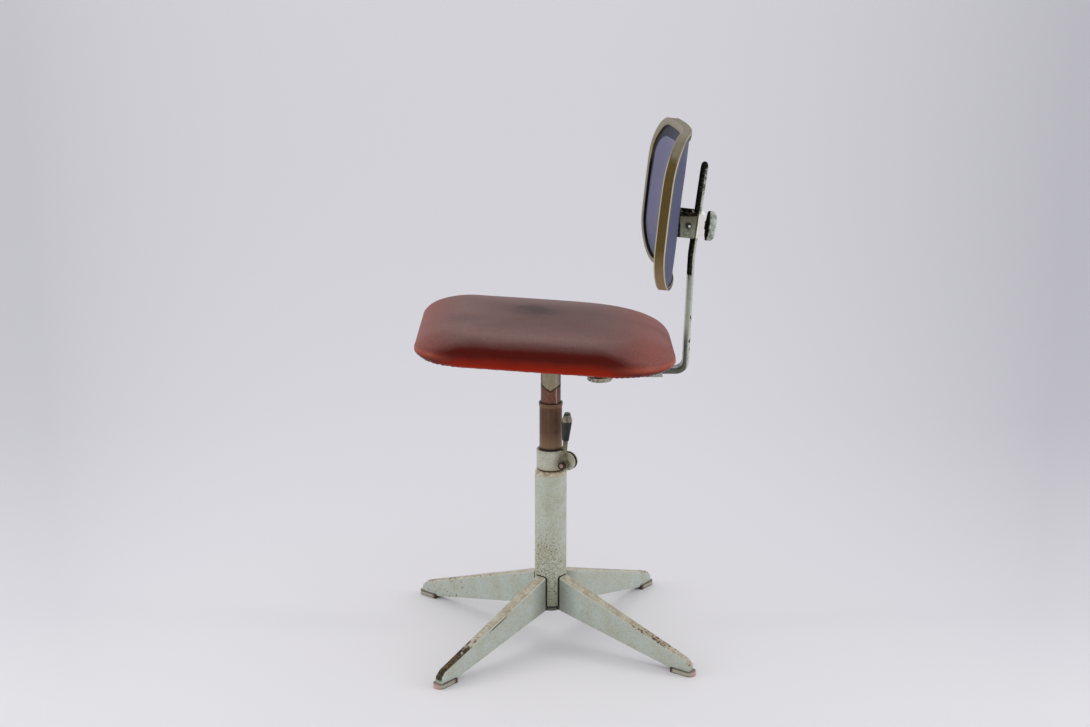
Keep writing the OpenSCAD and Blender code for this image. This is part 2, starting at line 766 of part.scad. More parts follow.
// Room for the bar inside the carriage
module bar_room()
  translate([-bar_w / 2 - bar_play, -bar_t / 2 - bar_play, -carriage_h])
    cube([bar_w + 2 * bar_play, bar_t + 2 * bar_play, 2 * carriage_h]);

// Block in front of the bar, with the lug that the backrest tilts on
module carriage() color(worn_steel) on_bar() translate([0, 0, pivot_rise]) difference() {
  union() {
    translate([-carriage_half_w, -carriage_half_t, -carriage_h / 2])
      cube([2 * carriage_half_w, carriage_half_t + saddle_seam, carriage_h]);
    translate([-lug_half_w, -pivot_ahead, -lug_r])
      cube([2 * lug_half_w, pivot_ahead - carriage_half_t + eps, 2 * lug_r]);
    translate([0, -pivot_ahead, 0]) cross_rod(lug_r, lug_half_w);
  }
  bar_room();
  translate([0, -pivot_ahead, 0]) cross_rod(pin_d / 2 + bush_play, big / 2);
}

// Saddle behind the bar, with the boss that the lock screw turns in
module saddle() color(bright_steel) on_bar() translate([0, 0, pivot_rise]) difference() {
  union() {
    translate([-carriage_half_w, saddle_seam, -carriage_h / 2])
      cube([2 * carriage_half_w, saddle_back - saddle_seam, carriage_h]);
    translate([0, saddle_back - 1, 0]) rotate([-90, 0, 0])
      cylinder(r = height_boss_r, h = height_boss_t + 1);
  }
  bar_room();
  rotate([-90, 0, 0]) cylinder(r = screw_d / 2 + screw_play, h = big);
}

// ---- height lock ----

knob_face = saddle_back + height_boss_t + knob_gap;
knob_hub_r = 6;
knob_hub_t = 3.4;
lobe_cut_r = 8;
lobe_cut_depth = 3.2;
screw_in_knob = 7;

// Half section of a knob, from its flat face at 0 to its back, with edges rounded by front and back
module knob_section(r, t, front, back) {
  square([r - back, t]);
  square([r - front, t - back]);
  translate([0, front]) square([r, t - front - back]);
  translate([r - front, front]) circle(front);
  translate([r - back, t - back]) circle(back);
}

module height_knob() color(paint) on_bar() translate([0, knob_face, pivot_rise]) rotate([-90, 0, 0])
  difference() {
    union() {
      cylinder(r = knob_hub_r, h = knob_hub_t + 1);
      translate([0, 0, knob_hub_t]) rotate_extrude()
        knob_section(height_knob_d / 2, height_knob_t, 1.5, height_knob_t / 2);
    }
    for (k = [0:lobes - 1]) rotate([0, 0, 360 / lobes * k])
      translate([height_knob_d / 2 + lobe_cut_r - lobe_cut_depth, 0, knob_hub_t - 1])
        cylinder(r = lobe_cut_r, h = height_knob_t + 2);
    translate([0, 0, -1]) cylinder(r = screw_d / 2, h = knob_hub_t + screw_in_knob + 1);
  }

module height_screw() color(worn_steel) on_bar() translate([0, bar_t / 2 + bar_play, pivot_rise])
  rotate([-90, 0, 0]) cylinder(r = screw_d / 2, h = knob_face + knob_hub_t + screw_in_knob - bar_t / 2 - bar_play);

// ---- backrest ----

// Rivets, or holes for them, between two depths of the pivot's frame
module rivet_rods(r, y0, y1)
  for (x = [-1, 1], z = [-1, 1])
    translate([x * rivet_x, y0, bracket_low + bracket_h / 2 + z * rivet_z])
      rotate([-90, 0, 0]) cylinder(r = r, h = y1 - y0);

module backrest_bracket() color(paint) on_pivot() difference() {
  union() {
    translate([-cheek_out, web_face, bracket_low]) cube([2 * cheek_out, bracket_t, bracket_h]);
    for (x = [-1, 1]) scale([x, 1, 1]) translate([(cheek_in + cheek_out) / 2, 0, 0])
      side_view(bracket_t) translate([0, bracket_low + bracket_h / 2]) cheek_outline();
  }
  cross_rod(pin_d / 2, big / 2);
  rivet_rods(rivet_r, web_face - 1, web_face + bracket_t + 1);
}

// Side view of a cheek, with its two free corners rounded
module cheek_outline() {
  half = bracket_h / 2;
  corner = 3;
  translate([web_face, -half]) square([cheek_reach - web_face - corner, bracket_h]);
  translate([web_face, -half + corner]) square([cheek_reach - web_face, bracket_h - 2 * corner]);
  for (z = [-1, 1]) translate([cheek_reach - corner, z * (half - corner)]) circle(corner);
}

module pivot_pin() color(bright_steel) on_pivot() {
  head_t = 2;
  cross_rod(pin_d / 2, cheek_out);
  for (x = [-1, 1]) translate([x * (cheek_out + head_t / 2), 0, 0]) cross_rod(pin_d / 2 + 1.5, head_t / 2);
}

module bracket_rivets() color(bright_steel) on_pivot() {
  rivet_rods(rivet_r, web_face - rear_cover_t - back_shell_t + 1, web_face + bracket_t);
  rivet_rods(rivet_head_r, web_face + bracket_t, web_face + bracket_t + rivet_head_h);
}

// Side section of the backrest between two radii, bowed forwards at its middle
module bowed_strip(r0, r1) intersection() {
  translate([face_r - big / 2, -back_h]) square([big, 2 * back_h]);
  translate([face_r + bow_r, 0]) difference() {
    circle(face_r + bow_r - r0, $fn = 720);
    circle(face_r + bow_r - r1, $fn = 720);
  }
}

// Bent slab of the backrest between two radii, its outline drawn in by inset
module back_slab(r0, r1, inset) on_pivot() translate([0, 0, face_rise]) intersection() {
  translate([0, -face_ahead - face_r, 0]) rotate_extrude($fn = 360) bowed_strip(r0, r1);
  front_view(-face_ahead - 3 * back_hollow, 0)
    round_rect(back_half_w - inset, back_h / 2 - inset, back_r - inset);
}

module backrest_shell() color(plywood) difference() {
  back_slab(shell_in_r, shell_in_r + back_shell_t, trim_w - trim_lap);
  on_pivot() rivet_rods(rivet_r, web_face - rear_cover_t - back_shell_t + 1, 0);
}

module front_pad() color(blue_vinyl) {
  back_slab(shell_in_r - pad_t, shell_in_r, trim_w + pad_edge_play);
  back_slab(shell_in_r - pad_t - pad_rise, shell_in_r - pad_t + eps, trim_w + border_w);
}

module rear_cover() color(blue_vinyl) difference() {
  back_slab(shell_in_r + back_shell_t, rear_face_r, trim_w + pad_edge_play);
  on_pivot() rivet_rods(rivet_r, web_face - rear_cover_t - 1, 0);
}

module edge_trim() color(rubber) difference() {
  back_slab(face_r, face_r + trim_d, 0);
  back_slab(face_r - 1, face_r + trim_d + 1, trim_w);
  back_slab(shell_in_r, shell_in_r + back_shell_t, trim_w - trim_lap);
}

column_tube();
leg_hub();
base_cap();
leg(0);  // leg_front_left
leg(1);  // leg_rear_left
leg(2);  // leg_rear_right
leg(3);  // leg_front_right
glide(0);  // glide_front_left
glide(1);  // glide_rear_left
glide(2);  // glide_rear_right
glide(3);  // glide_front_right
column_bush();
clamp_collar();
clamp_nut();
clamp_bolt();
clamp_lever();
lever_grip();
sleeve_tube();
guide_ring();
sleeve_plug();
thrust_washer();
seat_post();
seat_carrier();
bar_guide();
seat_plate();
seat_screws();
seat_shell();
seat_cushion();
back_bar();
bar_stop();
depth_knob();
depth_screw();
carriage();
saddle();
height_knob();
height_screw();
backrest_bracket();
pivot_pin();
bracket_rivets();
backrest_shell();
front_pad();
rear_cover();
edge_trim();
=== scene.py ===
# %% [markdown]
# # A drafting chair, dressed
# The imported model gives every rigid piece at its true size. This script adds what a maker would call
# the finish: enamel, lacquer, vinyl and rubber. The soft pieces get shapes of their own, because a
# plain solid has neither the swell of foam nor the folds of a hem.

# %% Load the frame
import json
import math

import bpy
import numpy as np
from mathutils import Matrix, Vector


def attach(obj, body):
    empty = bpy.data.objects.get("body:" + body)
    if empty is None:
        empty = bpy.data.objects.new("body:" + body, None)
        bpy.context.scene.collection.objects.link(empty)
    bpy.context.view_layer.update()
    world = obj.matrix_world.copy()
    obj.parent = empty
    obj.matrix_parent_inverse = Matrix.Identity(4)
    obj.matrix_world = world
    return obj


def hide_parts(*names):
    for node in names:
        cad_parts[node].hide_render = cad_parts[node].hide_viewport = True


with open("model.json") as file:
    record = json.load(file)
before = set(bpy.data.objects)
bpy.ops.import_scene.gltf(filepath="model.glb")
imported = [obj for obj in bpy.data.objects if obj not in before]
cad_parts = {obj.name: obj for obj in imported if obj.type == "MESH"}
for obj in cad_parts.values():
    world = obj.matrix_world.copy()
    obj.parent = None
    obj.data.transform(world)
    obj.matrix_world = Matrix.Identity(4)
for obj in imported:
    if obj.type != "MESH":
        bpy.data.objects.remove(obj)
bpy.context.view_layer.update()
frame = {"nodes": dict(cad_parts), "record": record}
NODES = frame["nodes"]
JOINTS = {joint["name"]: joint for joint in frame["record"]["behaviour"]["joints"]}
MM = 0.001
print("pieces in the frame:", len(NODES))

# %% [markdown]
# ## Camera
# A long lens stands 2.6 m to the side of the chair, higher than its backrest, and looks 14 degrees down.

# %% The camera
scene = bpy.context.scene
camera_data = bpy.data.cameras.new("camera")
camera_data.lens = 59.45
camera_data.sensor_width = 36.0
camera_data.sensor_fit = "HORIZONTAL"
camera_data.clip_end = 120.0
camera = bpy.data.objects.new("camera", camera_data)
camera.location = (2.5899, -0.0086, 1.0939)
camera.rotation_euler = (math.radians(75.577), 0.0, math.radians(90.0))
scene.collection.objects.link(camera)
scene.camera = camera

# %% [markdown]
# ## Meshes from arrays
# Every new piece is a sheet of points worked out at once: rows run along a profile and columns run
# round an outline. One helper turns such a grid into quads. It closes the grid round its columns and
# leaves the first and last row open.


# %% From a grid to a mesh
def grid_faces(rows, columns):
    """Quads between neighbouring rows: corner, next column, next row and column, next row."""
    r, c = np.meshgrid(np.arange(rows - 1), np.arange(columns), indexing="ij")
    n = (c + 1) % columns
    quads = np.stack([r * columns + c, r * columns + n, (r + 1) * columns + n, (r + 1) * columns + c], -1)
    return quads.reshape(-1, 4)


def make_piece(name, points, faces, body, node=None):
    """Builds a smooth mesh, lets it ride on a body, and hides the node it stands for, if any."""
    mesh = bpy.data.meshes.new(name)
    mesh.from_pydata(points.reshape(-1, 3).tolist(), [], [f.tolist() for f in faces])
    mesh.validate()
    mesh.polygons.foreach_set("use_smooth", np.full(len(mesh.polygons), True))
    piece = bpy.data.objects.new(name, mesh)
    scene.collection.objects.link(piece)
    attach(piece, body)
    if node:
        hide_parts(node)
    print(name, "has", len(mesh.vertices), "points")
    return piece


# %% [markdown]
# ## Outlines
# The seat and the backrest are both rounded rectangles. Their outlines are walked at even steps, and
# each point keeps its outward direction, so that an inner line is the point less some of its direction.
# An edge is given by half its width, its two ends and the radii of the corners at those ends.


# %% A rounded outline
def rounded_outline(half_w, low, high, low_r, high_r, count):
    """Points and outward directions of a rounded rectangle, at even steps along its edge.

    The four corner arcs are centre + radius * (cos, sin), and straight runs join their ends.
    """
    corners = [(half_w - low_r, low + low_r, low_r, -90), (half_w - high_r, high - high_r, high_r, 0),
               (-half_w + high_r, high - high_r, high_r, 90), (-half_w + low_r, low + low_r, low_r, 180)]
    sweep = np.radians(np.linspace(0, 90, 91))
    arcs = []
    turns = []
    for x, y, r, start in corners:
        turn = sweep + math.radians(start)
        arcs.append(np.stack([x + r * np.cos(turn), y + r * np.sin(turn)], -1))
        turns.append(turn)
    path = np.concatenate(arcs + [arcs[0][:1]])
    turn = np.concatenate(turns + [turns[0][:1] + 2 * math.pi])
    walked = np.concatenate([[0], np.cumsum(np.linalg.norm(np.diff(path, axis=0), axis=1))])
    steps = np.linspace(0, walked[-1], count, endpoint=False)
    points = np.stack([np.interp(steps, walked, path[:, k]) for k in (0, 1)], -1)
    angle = np.interp(steps, walked, turn)
    return points, np.stack([np.cos(angle), np.sin(angle)], -1), steps


def with_third(points, third):
    """Points (a, b) with a third coordinate that is spread to their shape: (a, b, third)."""
    return np.concatenate([points, np.broadcast_to(third, points.shape[:-1])[..., None]], -1)


def tilt_back(points, degrees, origin):
    """Turns points about X, then moves them: y' = y cos + z sin and z' = z cos - y sin, plus origin."""
    t = math.radians(degrees)
    x, y, z = np.moveaxis(points, -1, 0)
    turned = np.stack([x, y * math.cos(t) + z * math.sin(t), z * math.cos(t) - y * math.sin(t)], -1)
    return turned + np.array(origin)


# %% [markdown]
# ## Seat
# The seat is foam on a plywood shell under stretched vinyl. The vinyl pulls the foam into a rolled
# shoulder, tight at the bottom and soft at the top. The shape starts from rings that follow the
# outline inwards, and a cloth simulation then lets the cover swell where nothing holds it.

# %% Seat sizes
SEAT_TILT = 4.1
SEAT_ORIGIN = (0.0, 0.0, 0.455)
SEAT_EDGE = (179 * MM, -198 * MM, 182 * MM, 80 * MM, 114 * MM)
SEAT_ROLL = 60 * MM
SEAT_TOP = 48 * MM
SEAT_WIDEST = 8 * MM
SHOULDER = 32 * MM
UNDERSIDE = 2.4 * MM
UNDERCUT = 11 * MM


def seat_rings(count):
    """Rings of the cushion from its underside to its crown.

    Below the widest line a ring is drawn in by a quarter ellipse 11 mm wide, above it by almost one
    that is 60 mm wide and 32 mm high. The crown shrinks the last ring to a middle that lies 8 mm to
    the front, and its rise is 1 - (1 - shrink) ** 2 of what is left up to SEAT_TOP.
    """
    points, outward, _ = rounded_outline(*SEAT_EDGE, count)
    low = np.radians(np.linspace(-90, 0, 7))[:-1]
    side = np.radians(np.linspace(0, 86, 22))
    inset = np.concatenate([[16 * MM], UNDERCUT * (1 - np.cos(low)), SEAT_ROLL * (1 - np.cos(side)) ** 1.06])
    height = np.concatenate([[5 * MM], UNDERSIDE + (SEAT_WIDEST - UNDERSIDE) * (1 + np.sin(low)),
                             SEAT_WIDEST + SHOULDER * np.sin(side)])
    rings = with_third(points[None] - inset[:, None, None] * outward[None], height[:, None])
    shrink = np.linspace(0, 1, 16)[1:]
    middle = np.array([0, -8 * MM])
    crown = middle + (rings[-1, :, :2] - middle)[None] * (1 - shrink)[:, None, None]
    rise = rings[-1, 0, 2] + (SEAT_TOP - rings[-1, 0, 2]) * (1 - (1 - shrink) ** 2)
    return np.concatenate([rings, with_third(crown, rise[:, None])])


# %% [markdown]
# The rings bunch up at the crown, and cloth needs even squares. So a voxel remesh makes the net anew.

# %% The cushion's first shape
def evaluated_copy(piece):
    """The piece's mesh with its modifiers applied, as a mesh of its own."""
    depsgraph = bpy.context.evaluated_depsgraph_get()
    return bpy.data.meshes.new_from_object(piece.evaluated_get(depsgraph), depsgraph=depsgraph)


def read_points(mesh):
    """All points of a mesh as one array."""
    flat = np.empty(len(mesh.vertices) * 3)
    mesh.vertices.foreach_get("co", flat)
    return flat.reshape(-1, 3)


VOXEL = 5 * MM
rings = seat_rings(200)
rows, columns = rings.shape[:2]
faces = list(grid_faces(rows, columns))
faces.append(np.arange(columns)[::-1])
first = bpy.data.meshes.new("cushion_first")
first.from_pydata(rings.reshape(-1, 3).tolist(), [], [f.tolist() for f in faces])
draft = bpy.data.objects.new("cushion_draft", first)
scene.collection.objects.link(draft)
remesh = draft.modifiers.new("even", "REMESH")
remesh.mode = "VOXEL"
remesh.voxel_size = VOXEL
even = evaluated_copy(draft)
print("even cushion mesh:", len(even.vertices), "points")

# %% [markdown]
# The lowest 9 mm are held by the staples, and the rest is blown up a little. Stretched vinyl has no
# small creases, so each point's move is then averaged with its neighbours' and kept below a cap.

# %% The cover swells
PRESSURE = 2.0
FRAMES = 20
HELD_BELOW = 9 * MM
EVENING_PASSES = 60
SWELL_CAP = 1.5 * MM
rest_points = read_points(even)
draft.modifiers.clear()
draft.data = even
held = draft.vertex_groups.new(name="held")
held.add([int(i) for i in np.flatnonzero(rest_points[:, 2] < HELD_BELOW)], 1.0, "REPLACE")
cloth = draft.modifiers.new("cover", "CLOTH")
cloth.settings.use_pressure = True
cloth.settings.uniform_pressure_force = PRESSURE
cloth.settings.effector_weights.gravity = 0.0
cloth.settings.vertex_group_mass = "held"
cloth.point_cache.frame_start = 1
cloth.point_cache.frame_end = FRAMES
for step in range(1, FRAMES + 1):
    scene.frame_set(step)
swollen = read_points(evaluated_copy(draft))
scene.frame_set(1)
move = swollen - rest_points
pairs = np.empty(len(even.edges) * 2, int)
even.edges.foreach_get("vertices", pairs)
ends = np.concatenate([pairs[::2], pairs[1::2]])
others = np.concatenate([pairs[1::2], pairs[::2]])
near = np.bincount(ends, minlength=len(move))
for step in range(EVENING_PASSES):
    total = [np.bincount(ends, move[others, k], len(move)) / near for k in range(3)]
    move = (move + np.stack(total, -1)) / 2
length = np.linalg.norm(move, axis=1, keepdims=True)
swollen = rest_points + move * np.minimum(1, SWELL_CAP / np.maximum(length, 1e-9))
print("largest swell", round(float(length.max()) / MM, 1), "mm, capped at", SWELL_CAP / MM, "mm")
bpy.data.objects.remove(draft)

# %% The finished cushion
even_faces = [np.array(p.vertices) for p in even.polygons]
seat_cover = make_piece("seat_cover", tilt_back(swollen, SEAT_TILT, SEAT_ORIGIN), even_faces,
                        "seat", "seat_cushion")
smoother = seat_cover.modifiers.new("smooth", "SUBSURF")
smoother.levels = smoother.render_levels = 1

# %% [markdown]
# ## Hem and staples
# Under the shell the vinyl is turned over and stapled down. At the corners it has too much length, so
# it lies in small pleats that show below the edge. The hem is a strip carried round the outline.

# %% The hem
HEM_POINTS = 720
PLEAT_WIDTH = 9 * MM
PLEAT_DROP = 1.6 * MM
CHANCE = np.random.default_rng(7)
outline, outward, walked = rounded_outline(*SEAT_EDGE, HEM_POINTS)


def wander(count, coarse, strength):
    """A closed line of count values that runs straight from one to the next of a few random ones."""
    knots = CHANCE.uniform(-strength, strength, coarse)
    places = np.linspace(0, coarse, count, endpoint=False)
    return np.interp(places, np.arange(coarse + 1), np.append(knots, knots[0]))


# A pleat is |sin(pi * walked / width)| ** 1.5, as large as chance has it and only at the corners. The
# section gives, in millimetres, how far in and how high the hem lies, and loose how freely it hangs.
corner = np.clip(np.abs(outward).min(axis=1) / 0.45, 0, 1)
size = 0.35 + 0.65 * np.abs(wander(HEM_POINTS, 90, 1.0))
pleat = corner * size * np.abs(np.sin(walked / PLEAT_WIDTH * math.pi)) ** 1.5
ragged = wander(HEM_POINTS, 150, 1.0 * MM)
section = np.array([(5, 4.6), (6, 3.2), (8, 2.0), (11, 1.2), (19, -0.2), (24, -0.3), (26, 0.4), (26, 2.6),
                    (16, 2.9)]) * MM
loose = np.array([0.0, 0.3, 1, 1, 0.5, 0.6, 1, 1, 0])
inset = section[:, 0, None] + loose[:, None] * ragged[None]
drop = section[:, 1, None] - loose[:, None] * (PLEAT_DROP * pleat + 0.3 * np.abs(ragged))[None]
hem = with_third(outline[None] - inset[..., None] * outward[None], drop)
hem = np.concatenate([hem, hem[:1]])
seat_hem = make_piece("seat_hem", tilt_back(hem, SEAT_TILT, SEAT_ORIGIN),
                      grid_faces(len(hem), HEM_POINTS), "seat")

# %% [markdown]
# A staple is flat wire with two bends. All of them are one array: the middles along the outline, plus
# the bent line along it, plus the section of the wire, which is too thin to need more than six sides.

# %% The staples
STAPLES = 64
STAPLE_INSET = 19 * MM
WIRE = (0.6 * MM, 0.35 * MM)
at = (np.arange(STAPLES) * HEM_POINTS / STAPLES).astype(int)
along = np.stack([-outward[at, 1], outward[at, 0]], -1)
skew = CHANCE.uniform(-0.25, 0.25, (STAPLES, 1))
along = along + skew * outward[at]
bend = np.array([(-5.2, 1.6), (-4.9, -0.9), (4.9, -0.9), (5.2, 1.6)]) * MM
ring = np.radians(np.arange(0, 360, 60))
middle = outline[at] - STAPLE_INSET * outward[at]
wire = middle[:, None, None] + bend[None, :, None, :1] * along[:, None, None]
wire = wire + WIRE[0] * np.cos(ring)[None, None, :, None] * outward[at][:, None, None]
wire = with_third(wire, bend[None, :, None, 1] + WIRE[1] * np.sin(ring)[None, None])
one = grid_faces(len(bend), len(ring))
faces = (one[None] + len(bend) * len(ring) * np.arange(STAPLES)[:, None, None]).reshape(-1, 4)
make_piece("seat_staples", tilt_back(wire, SEAT_TILT, SEAT_ORIGIN), faces, "seat")

# %% [markdown]
# ## Backrest
# The backrest is a bent shell with a pad in front, a cover behind and a rubber edge that grips both.
# All its pieces are drawn flat, with x across, z up and a depth behind the edge's face, and one
# function gives them all the same two bends and the same lean.

# %% The bend of the backrest
PIVOT = JOINTS["back_tilt"]["pos_m"]
RECLINE = 6.1
BACK_EDGE = (165 * MM, -110 * MM, 110 * MM, 65 * MM, 65 * MM)
BACK_RADIUS = 500.16 * MM
BOW_RADIUS = (110 ** 2 + 2.4 ** 2) / (2 * 2.4) * MM
FACE_AHEAD = 29.4 * MM
FACE_RISE = 28.6 * MM


def bend_back(flat):
    """Bends (x, z, depth) twice, about a level axis at radius B and about an upright axis at radius R.

    reach = R + B - sqrt((B - depth) ** 2 - z ** 2) is the distance from the upright axis, and
    y = sqrt(reach ** 2 - x ** 2), less the distance of that axis.
    """
    x, z, depth = np.moveaxis(flat, -1, 0)
    reach = BACK_RADIUS + BOW_RADIUS - np.sqrt((BOW_RADIUS - depth) ** 2 - z ** 2)
    y = np.sqrt(reach ** 2 - x ** 2) - BACK_RADIUS - FACE_AHEAD
    return tilt_back(np.stack([x, y, z + FACE_RISE], -1), RECLINE, PIVOT)


def pad_rings(count, inset, depth, shrink, crown, sides=0.0):
    """Rings drawn in from the outline at the depths given, then shrunk towards the middle.

    Over the first 17 mm a ring comes to lie closer to the edge at the left and right and further from
    it at the top and bottom, by sides * (outward_x ** 2 - 0.5 * outward_z ** 2).
    """
    points, away, _ = rounded_outline(*BACK_EDGE, count)
    closer = sides * (away[:, 0] ** 2 - 0.5 * away[:, 1] ** 2)
    closer = np.clip((inset - inset[0]) / (17 * MM), 0, 1)[:, None] * closer[None]
    rings = points[None] - (inset[:, None] - closer)[..., None] * away[None]
    rings = np.concatenate([rings, rings[-1:] * (1 - shrink)[:, None, None]])
    return with_third(rings, np.concatenate([depth, crown])[:, None])


def closed_pad(name, front, rear, node):
    """A pad from two sets of rings that share an outline, its two poles closed by small faces."""
    rings = np.concatenate([rear[::-1], front])
    rows, columns = rings.shape[:2]
    faces = list(grid_faces(rows, columns)[:, ::-1])
    faces += [np.arange(columns), np.arange((rows - 1) * columns, rows * columns)[::-1]]
    return make_piece(name, bend_back(rings), faces, "backrest", node)


# %% [markdown]
# The front cover is one sheet of vinyl over thin foam, welded to the shell along one line. That line
# lies 30 mm inside the edge at the top and 13 mm at the sides, as a groove between a flat border and
# the swell of the pad. Bump in the material could draw it too, but would miss the swell beside it. So
# it stands in the pad's profile: millimetres inwards from the edge, and millimetres behind the face.

# %% The front pad
PAD_POINTS = 360
SHELL_FACES = (6.95 * MM, 12.05 * MM)
SHELL_EDGE = np.array([6.8, 30, 60]) * MM
line = np.array([(6.8, 6.4), (7.0, 5.4), (8.0, 4.8), (10, 4.5), (16, 4.35), (21, 4.4), (23, 4.3), (23.8, 4.9),
                 (24.4, 5.2), (25, 4.9), (25.8, 3.9), (27.5, 3.0), (30, 2.3), (34, 1.8), (38, 1.6),
                 (42, 1.5)]) * MM
shrink = np.linspace(0, 0.98, 14)[1:]
front = pad_rings(PAD_POINTS, line[:, 0], line[:, 1], shrink, (1.5 - 0.8 * shrink) * MM, 11 * MM)
rear = pad_rings(PAD_POINTS, SHELL_EDGE, np.full(3, SHELL_FACES[0]), shrink, np.full(13, SHELL_FACES[0]))
front_cover = closed_pad("front_cover", front, rear, "front_pad")

# %% [markdown]
# The material has to know where the weld runs, so each point of the profile keeps its distance from
# the edge. All the others keep the profile's last one, which lies far inside the weld.

# %% The pad's attribute
mark = front_cover.data.attributes.new("inset", "FLOAT", "POINT")
inset = np.concatenate([np.full(len(rear), line[-1, 0]), line[:, 0], np.full(len(shrink), line[-1, 0])]) / MM
mark.data.foreach_set("value", np.repeat(inset, PAD_POINTS))
print("inset runs from", inset.min(), "to", inset.max(), "mm")

# %% [markdown]
# The rear cover is a plainer sheet without a weld. It is lowest at the rim and swells towards the
# bracket, which presses it a little flat in the middle.

# %% The rear cover
line = np.array([(6.8, 12.1), (6.9, 12.3), (7.9, 12.4), (10.5, 12.5), (20, 12.9), (35, 13.6),
                 (60, 14.3)]) * MM
shrink = np.linspace(0, 0.98, 20)[1:]
crown = (14.3 - 0.35 * shrink ** 2) * MM
behind = pad_rings(PAD_POINTS, line[:, 0], line[:, 1], shrink, crown)
inside = pad_rings(PAD_POINTS, SHELL_EDGE, np.full(3, SHELL_FACES[1]), shrink, np.full(19, SHELL_FACES[1]))
back_cover = closed_pad("back_cover", inside, behind, "rear_cover")

# %% [markdown]
# The rubber edge is an extruded profile pulled round the backrest: a flat front lip, a band with a
# bead along each side and a rear lip. A bevelled curve could follow the outline too, but its section
# would not turn with the two bends. So the section is carried round as an array: millimetres outwards
# from the outline, and millimetres behind the face. Along the top its lips are up to 1.7 times as wide.

# %% The rubber edge
EDGE_POINTS = 480
section = np.array([(-6.4, 1.8), (-6.2, 0.8), (-5.6, 0.2), (-4.6, 0), (-3.2, 0), (-1.8, 0.05), (-0.9, 0.25),
                    (-0.3, 0.65), (0, 1.2), (-0.05, 1.7), (-0.4, 2.1), (-0.65, 2.8), (-0.5, 4.8), (-0.4, 7.5),
                    (-0.5, 10.2), (-0.65, 12.2), (-0.4, 12.9), (-0.05, 13.3), (0, 13.8), (-0.3, 14.35),
                    (-0.9, 14.75), (-1.8, 14.95), (-3.2, 15), (-4.6, 15), (-5.6, 14.8), (-6.2, 14.2),
                    (-6.4, 13.2), (-6.4, 7.5)]) * MM
points, away, _ = rounded_outline(*BACK_EDGE, EDGE_POINTS)
wider = 1 + 0.7 * np.clip(away[:, 1] * 1.6 - 0.3, 0, 1)
wider = np.where(section[:, :1] < -1 * MM, wider[None], 1.0)
edge = with_third(points[None] + (section[:, :1] * wider)[..., None] * away[None], section[:, 1:])
edge = np.concatenate([edge, edge[:1]])
rubber_edge = make_piece("rubber_edge", bend_back(edge), grid_faces(len(edge), EDGE_POINTS), "backrest",
                         "edge_trim")
for name, values in (("proud", section[:, 0]), ("behind", section[:, 1])):
    values = np.append(values, values[0]) / MM
    mark = rubber_edge.data.attributes.new(name, "FLOAT", "POINT")
    mark.data.foreach_set("value", np.repeat(values, EDGE_POINTS))

# %% [markdown]
# ## Nodes and colours
# A finish is a small tree of nodes. One function adds a node, sets it and links it. Almost every
# finish is a ground colour with layers of dirt, rust or wear on top, and a mask says where each shows.
# Colours are written as they look on a screen and turned to the linear values of light.


# %% One function for every node
def linear(hex_colour):
    """Screen colour to linear light: c / 12.92 up to 0.04045, above it ((c + 0.055) / 1.055) ** 2.4."""
    value = np.array([int(hex_colour[i:i + 2], 16) for i in (1, 3, 5)]) / 255
    value = np.where(value <= 0.04045, value / 12.92, ((value + 0.055) / 1.055) ** 2.4)
    return (*value.tolist(), 1.0)


def plug(m, value, socket):
    """Sets a socket to a number, a vector or a hex colour, or links another node's output to it."""
    if isinstance(value, bpy.types.NodeSocket):
        m.node_tree.links.new(value, socket)
    else:
        socket.default_value = linear(value) if isinstance(value, str) else value


def add(m, kind, *values, **settings):
    """Adds a node to m, sets it, plugs in its values and gives back its first open output.

    A second word in kind is the node's operation. The values fill the open sockets from the top, and
    one dictionary fills them by name. So a Map Range takes the value, the two ends of the range that it
    comes from and the two that it goes to, and clamps it there; a Mix takes the factor and two colours;
    a noise takes its place, scale, detail and roughness, and a scale of 1000 / n makes grains n mm wide.
    """
    kind, _, operation = kind.partition(" ")
    node = m.node_tree.nodes.new("ShaderNode" + kind)
    if operation:
        node.operation = operation
    if kind == "Mix":
        node.data_type = "RGBA"
    for name, value in settings.items():
        setattr(node, name, value)
    open_sockets = [socket for socket in node.inputs if socket.enabled]
    if values and isinstance(values[0], dict):
        open_sockets = [node.inputs[name] for name in values[0]]
        values = values[0].values()
    for value, socket in zip(values, open_sockets):
        plug(m, value, socket)
    return next(socket for socket in node.outputs if socket.enabled)


def begin(name):
    """A new material, with the object's coordinates in metres, its split x, y and z, and its normal."""
    m = bpy.data.materials.new(name)
    m.use_nodes = True
    place = add(m, "TexCoord").node.outputs
    parts = add(m, "SeparateXYZ", place["Object"]).node.outputs
    return m, place["Object"], parts, place["Normal"]


def finish(m, colour, roughness, height=None, relief=0.1, **shader):
    """Plugs colour, roughness and bump into the shader. Relief is in millimetres, and every constant
    goes straight onto the shader's own socket."""
    shader = {"Base Color": colour, "Roughness": roughness, **shader}
    if height is not None:
        shader["Normal"] = add(m, "Bump", {"Height": height, "Strength": 1.0, "Distance": relief * MM})
    for name, value in shader.items():
        plug(m, value, m.node_tree.nodes["Principled BSDF"].inputs[name])
    return m


def band(m, value, middle, start, end, strength=1.0):
    """A mask from the distance |value - middle|: nothing at start, and its whole strength at end."""
    away = add(m, "Math SUBTRACT", value, middle)
    away = add(m, "Math ABSOLUTE", away)
    return add(m, "MapRange", away, start, end, 0, strength)


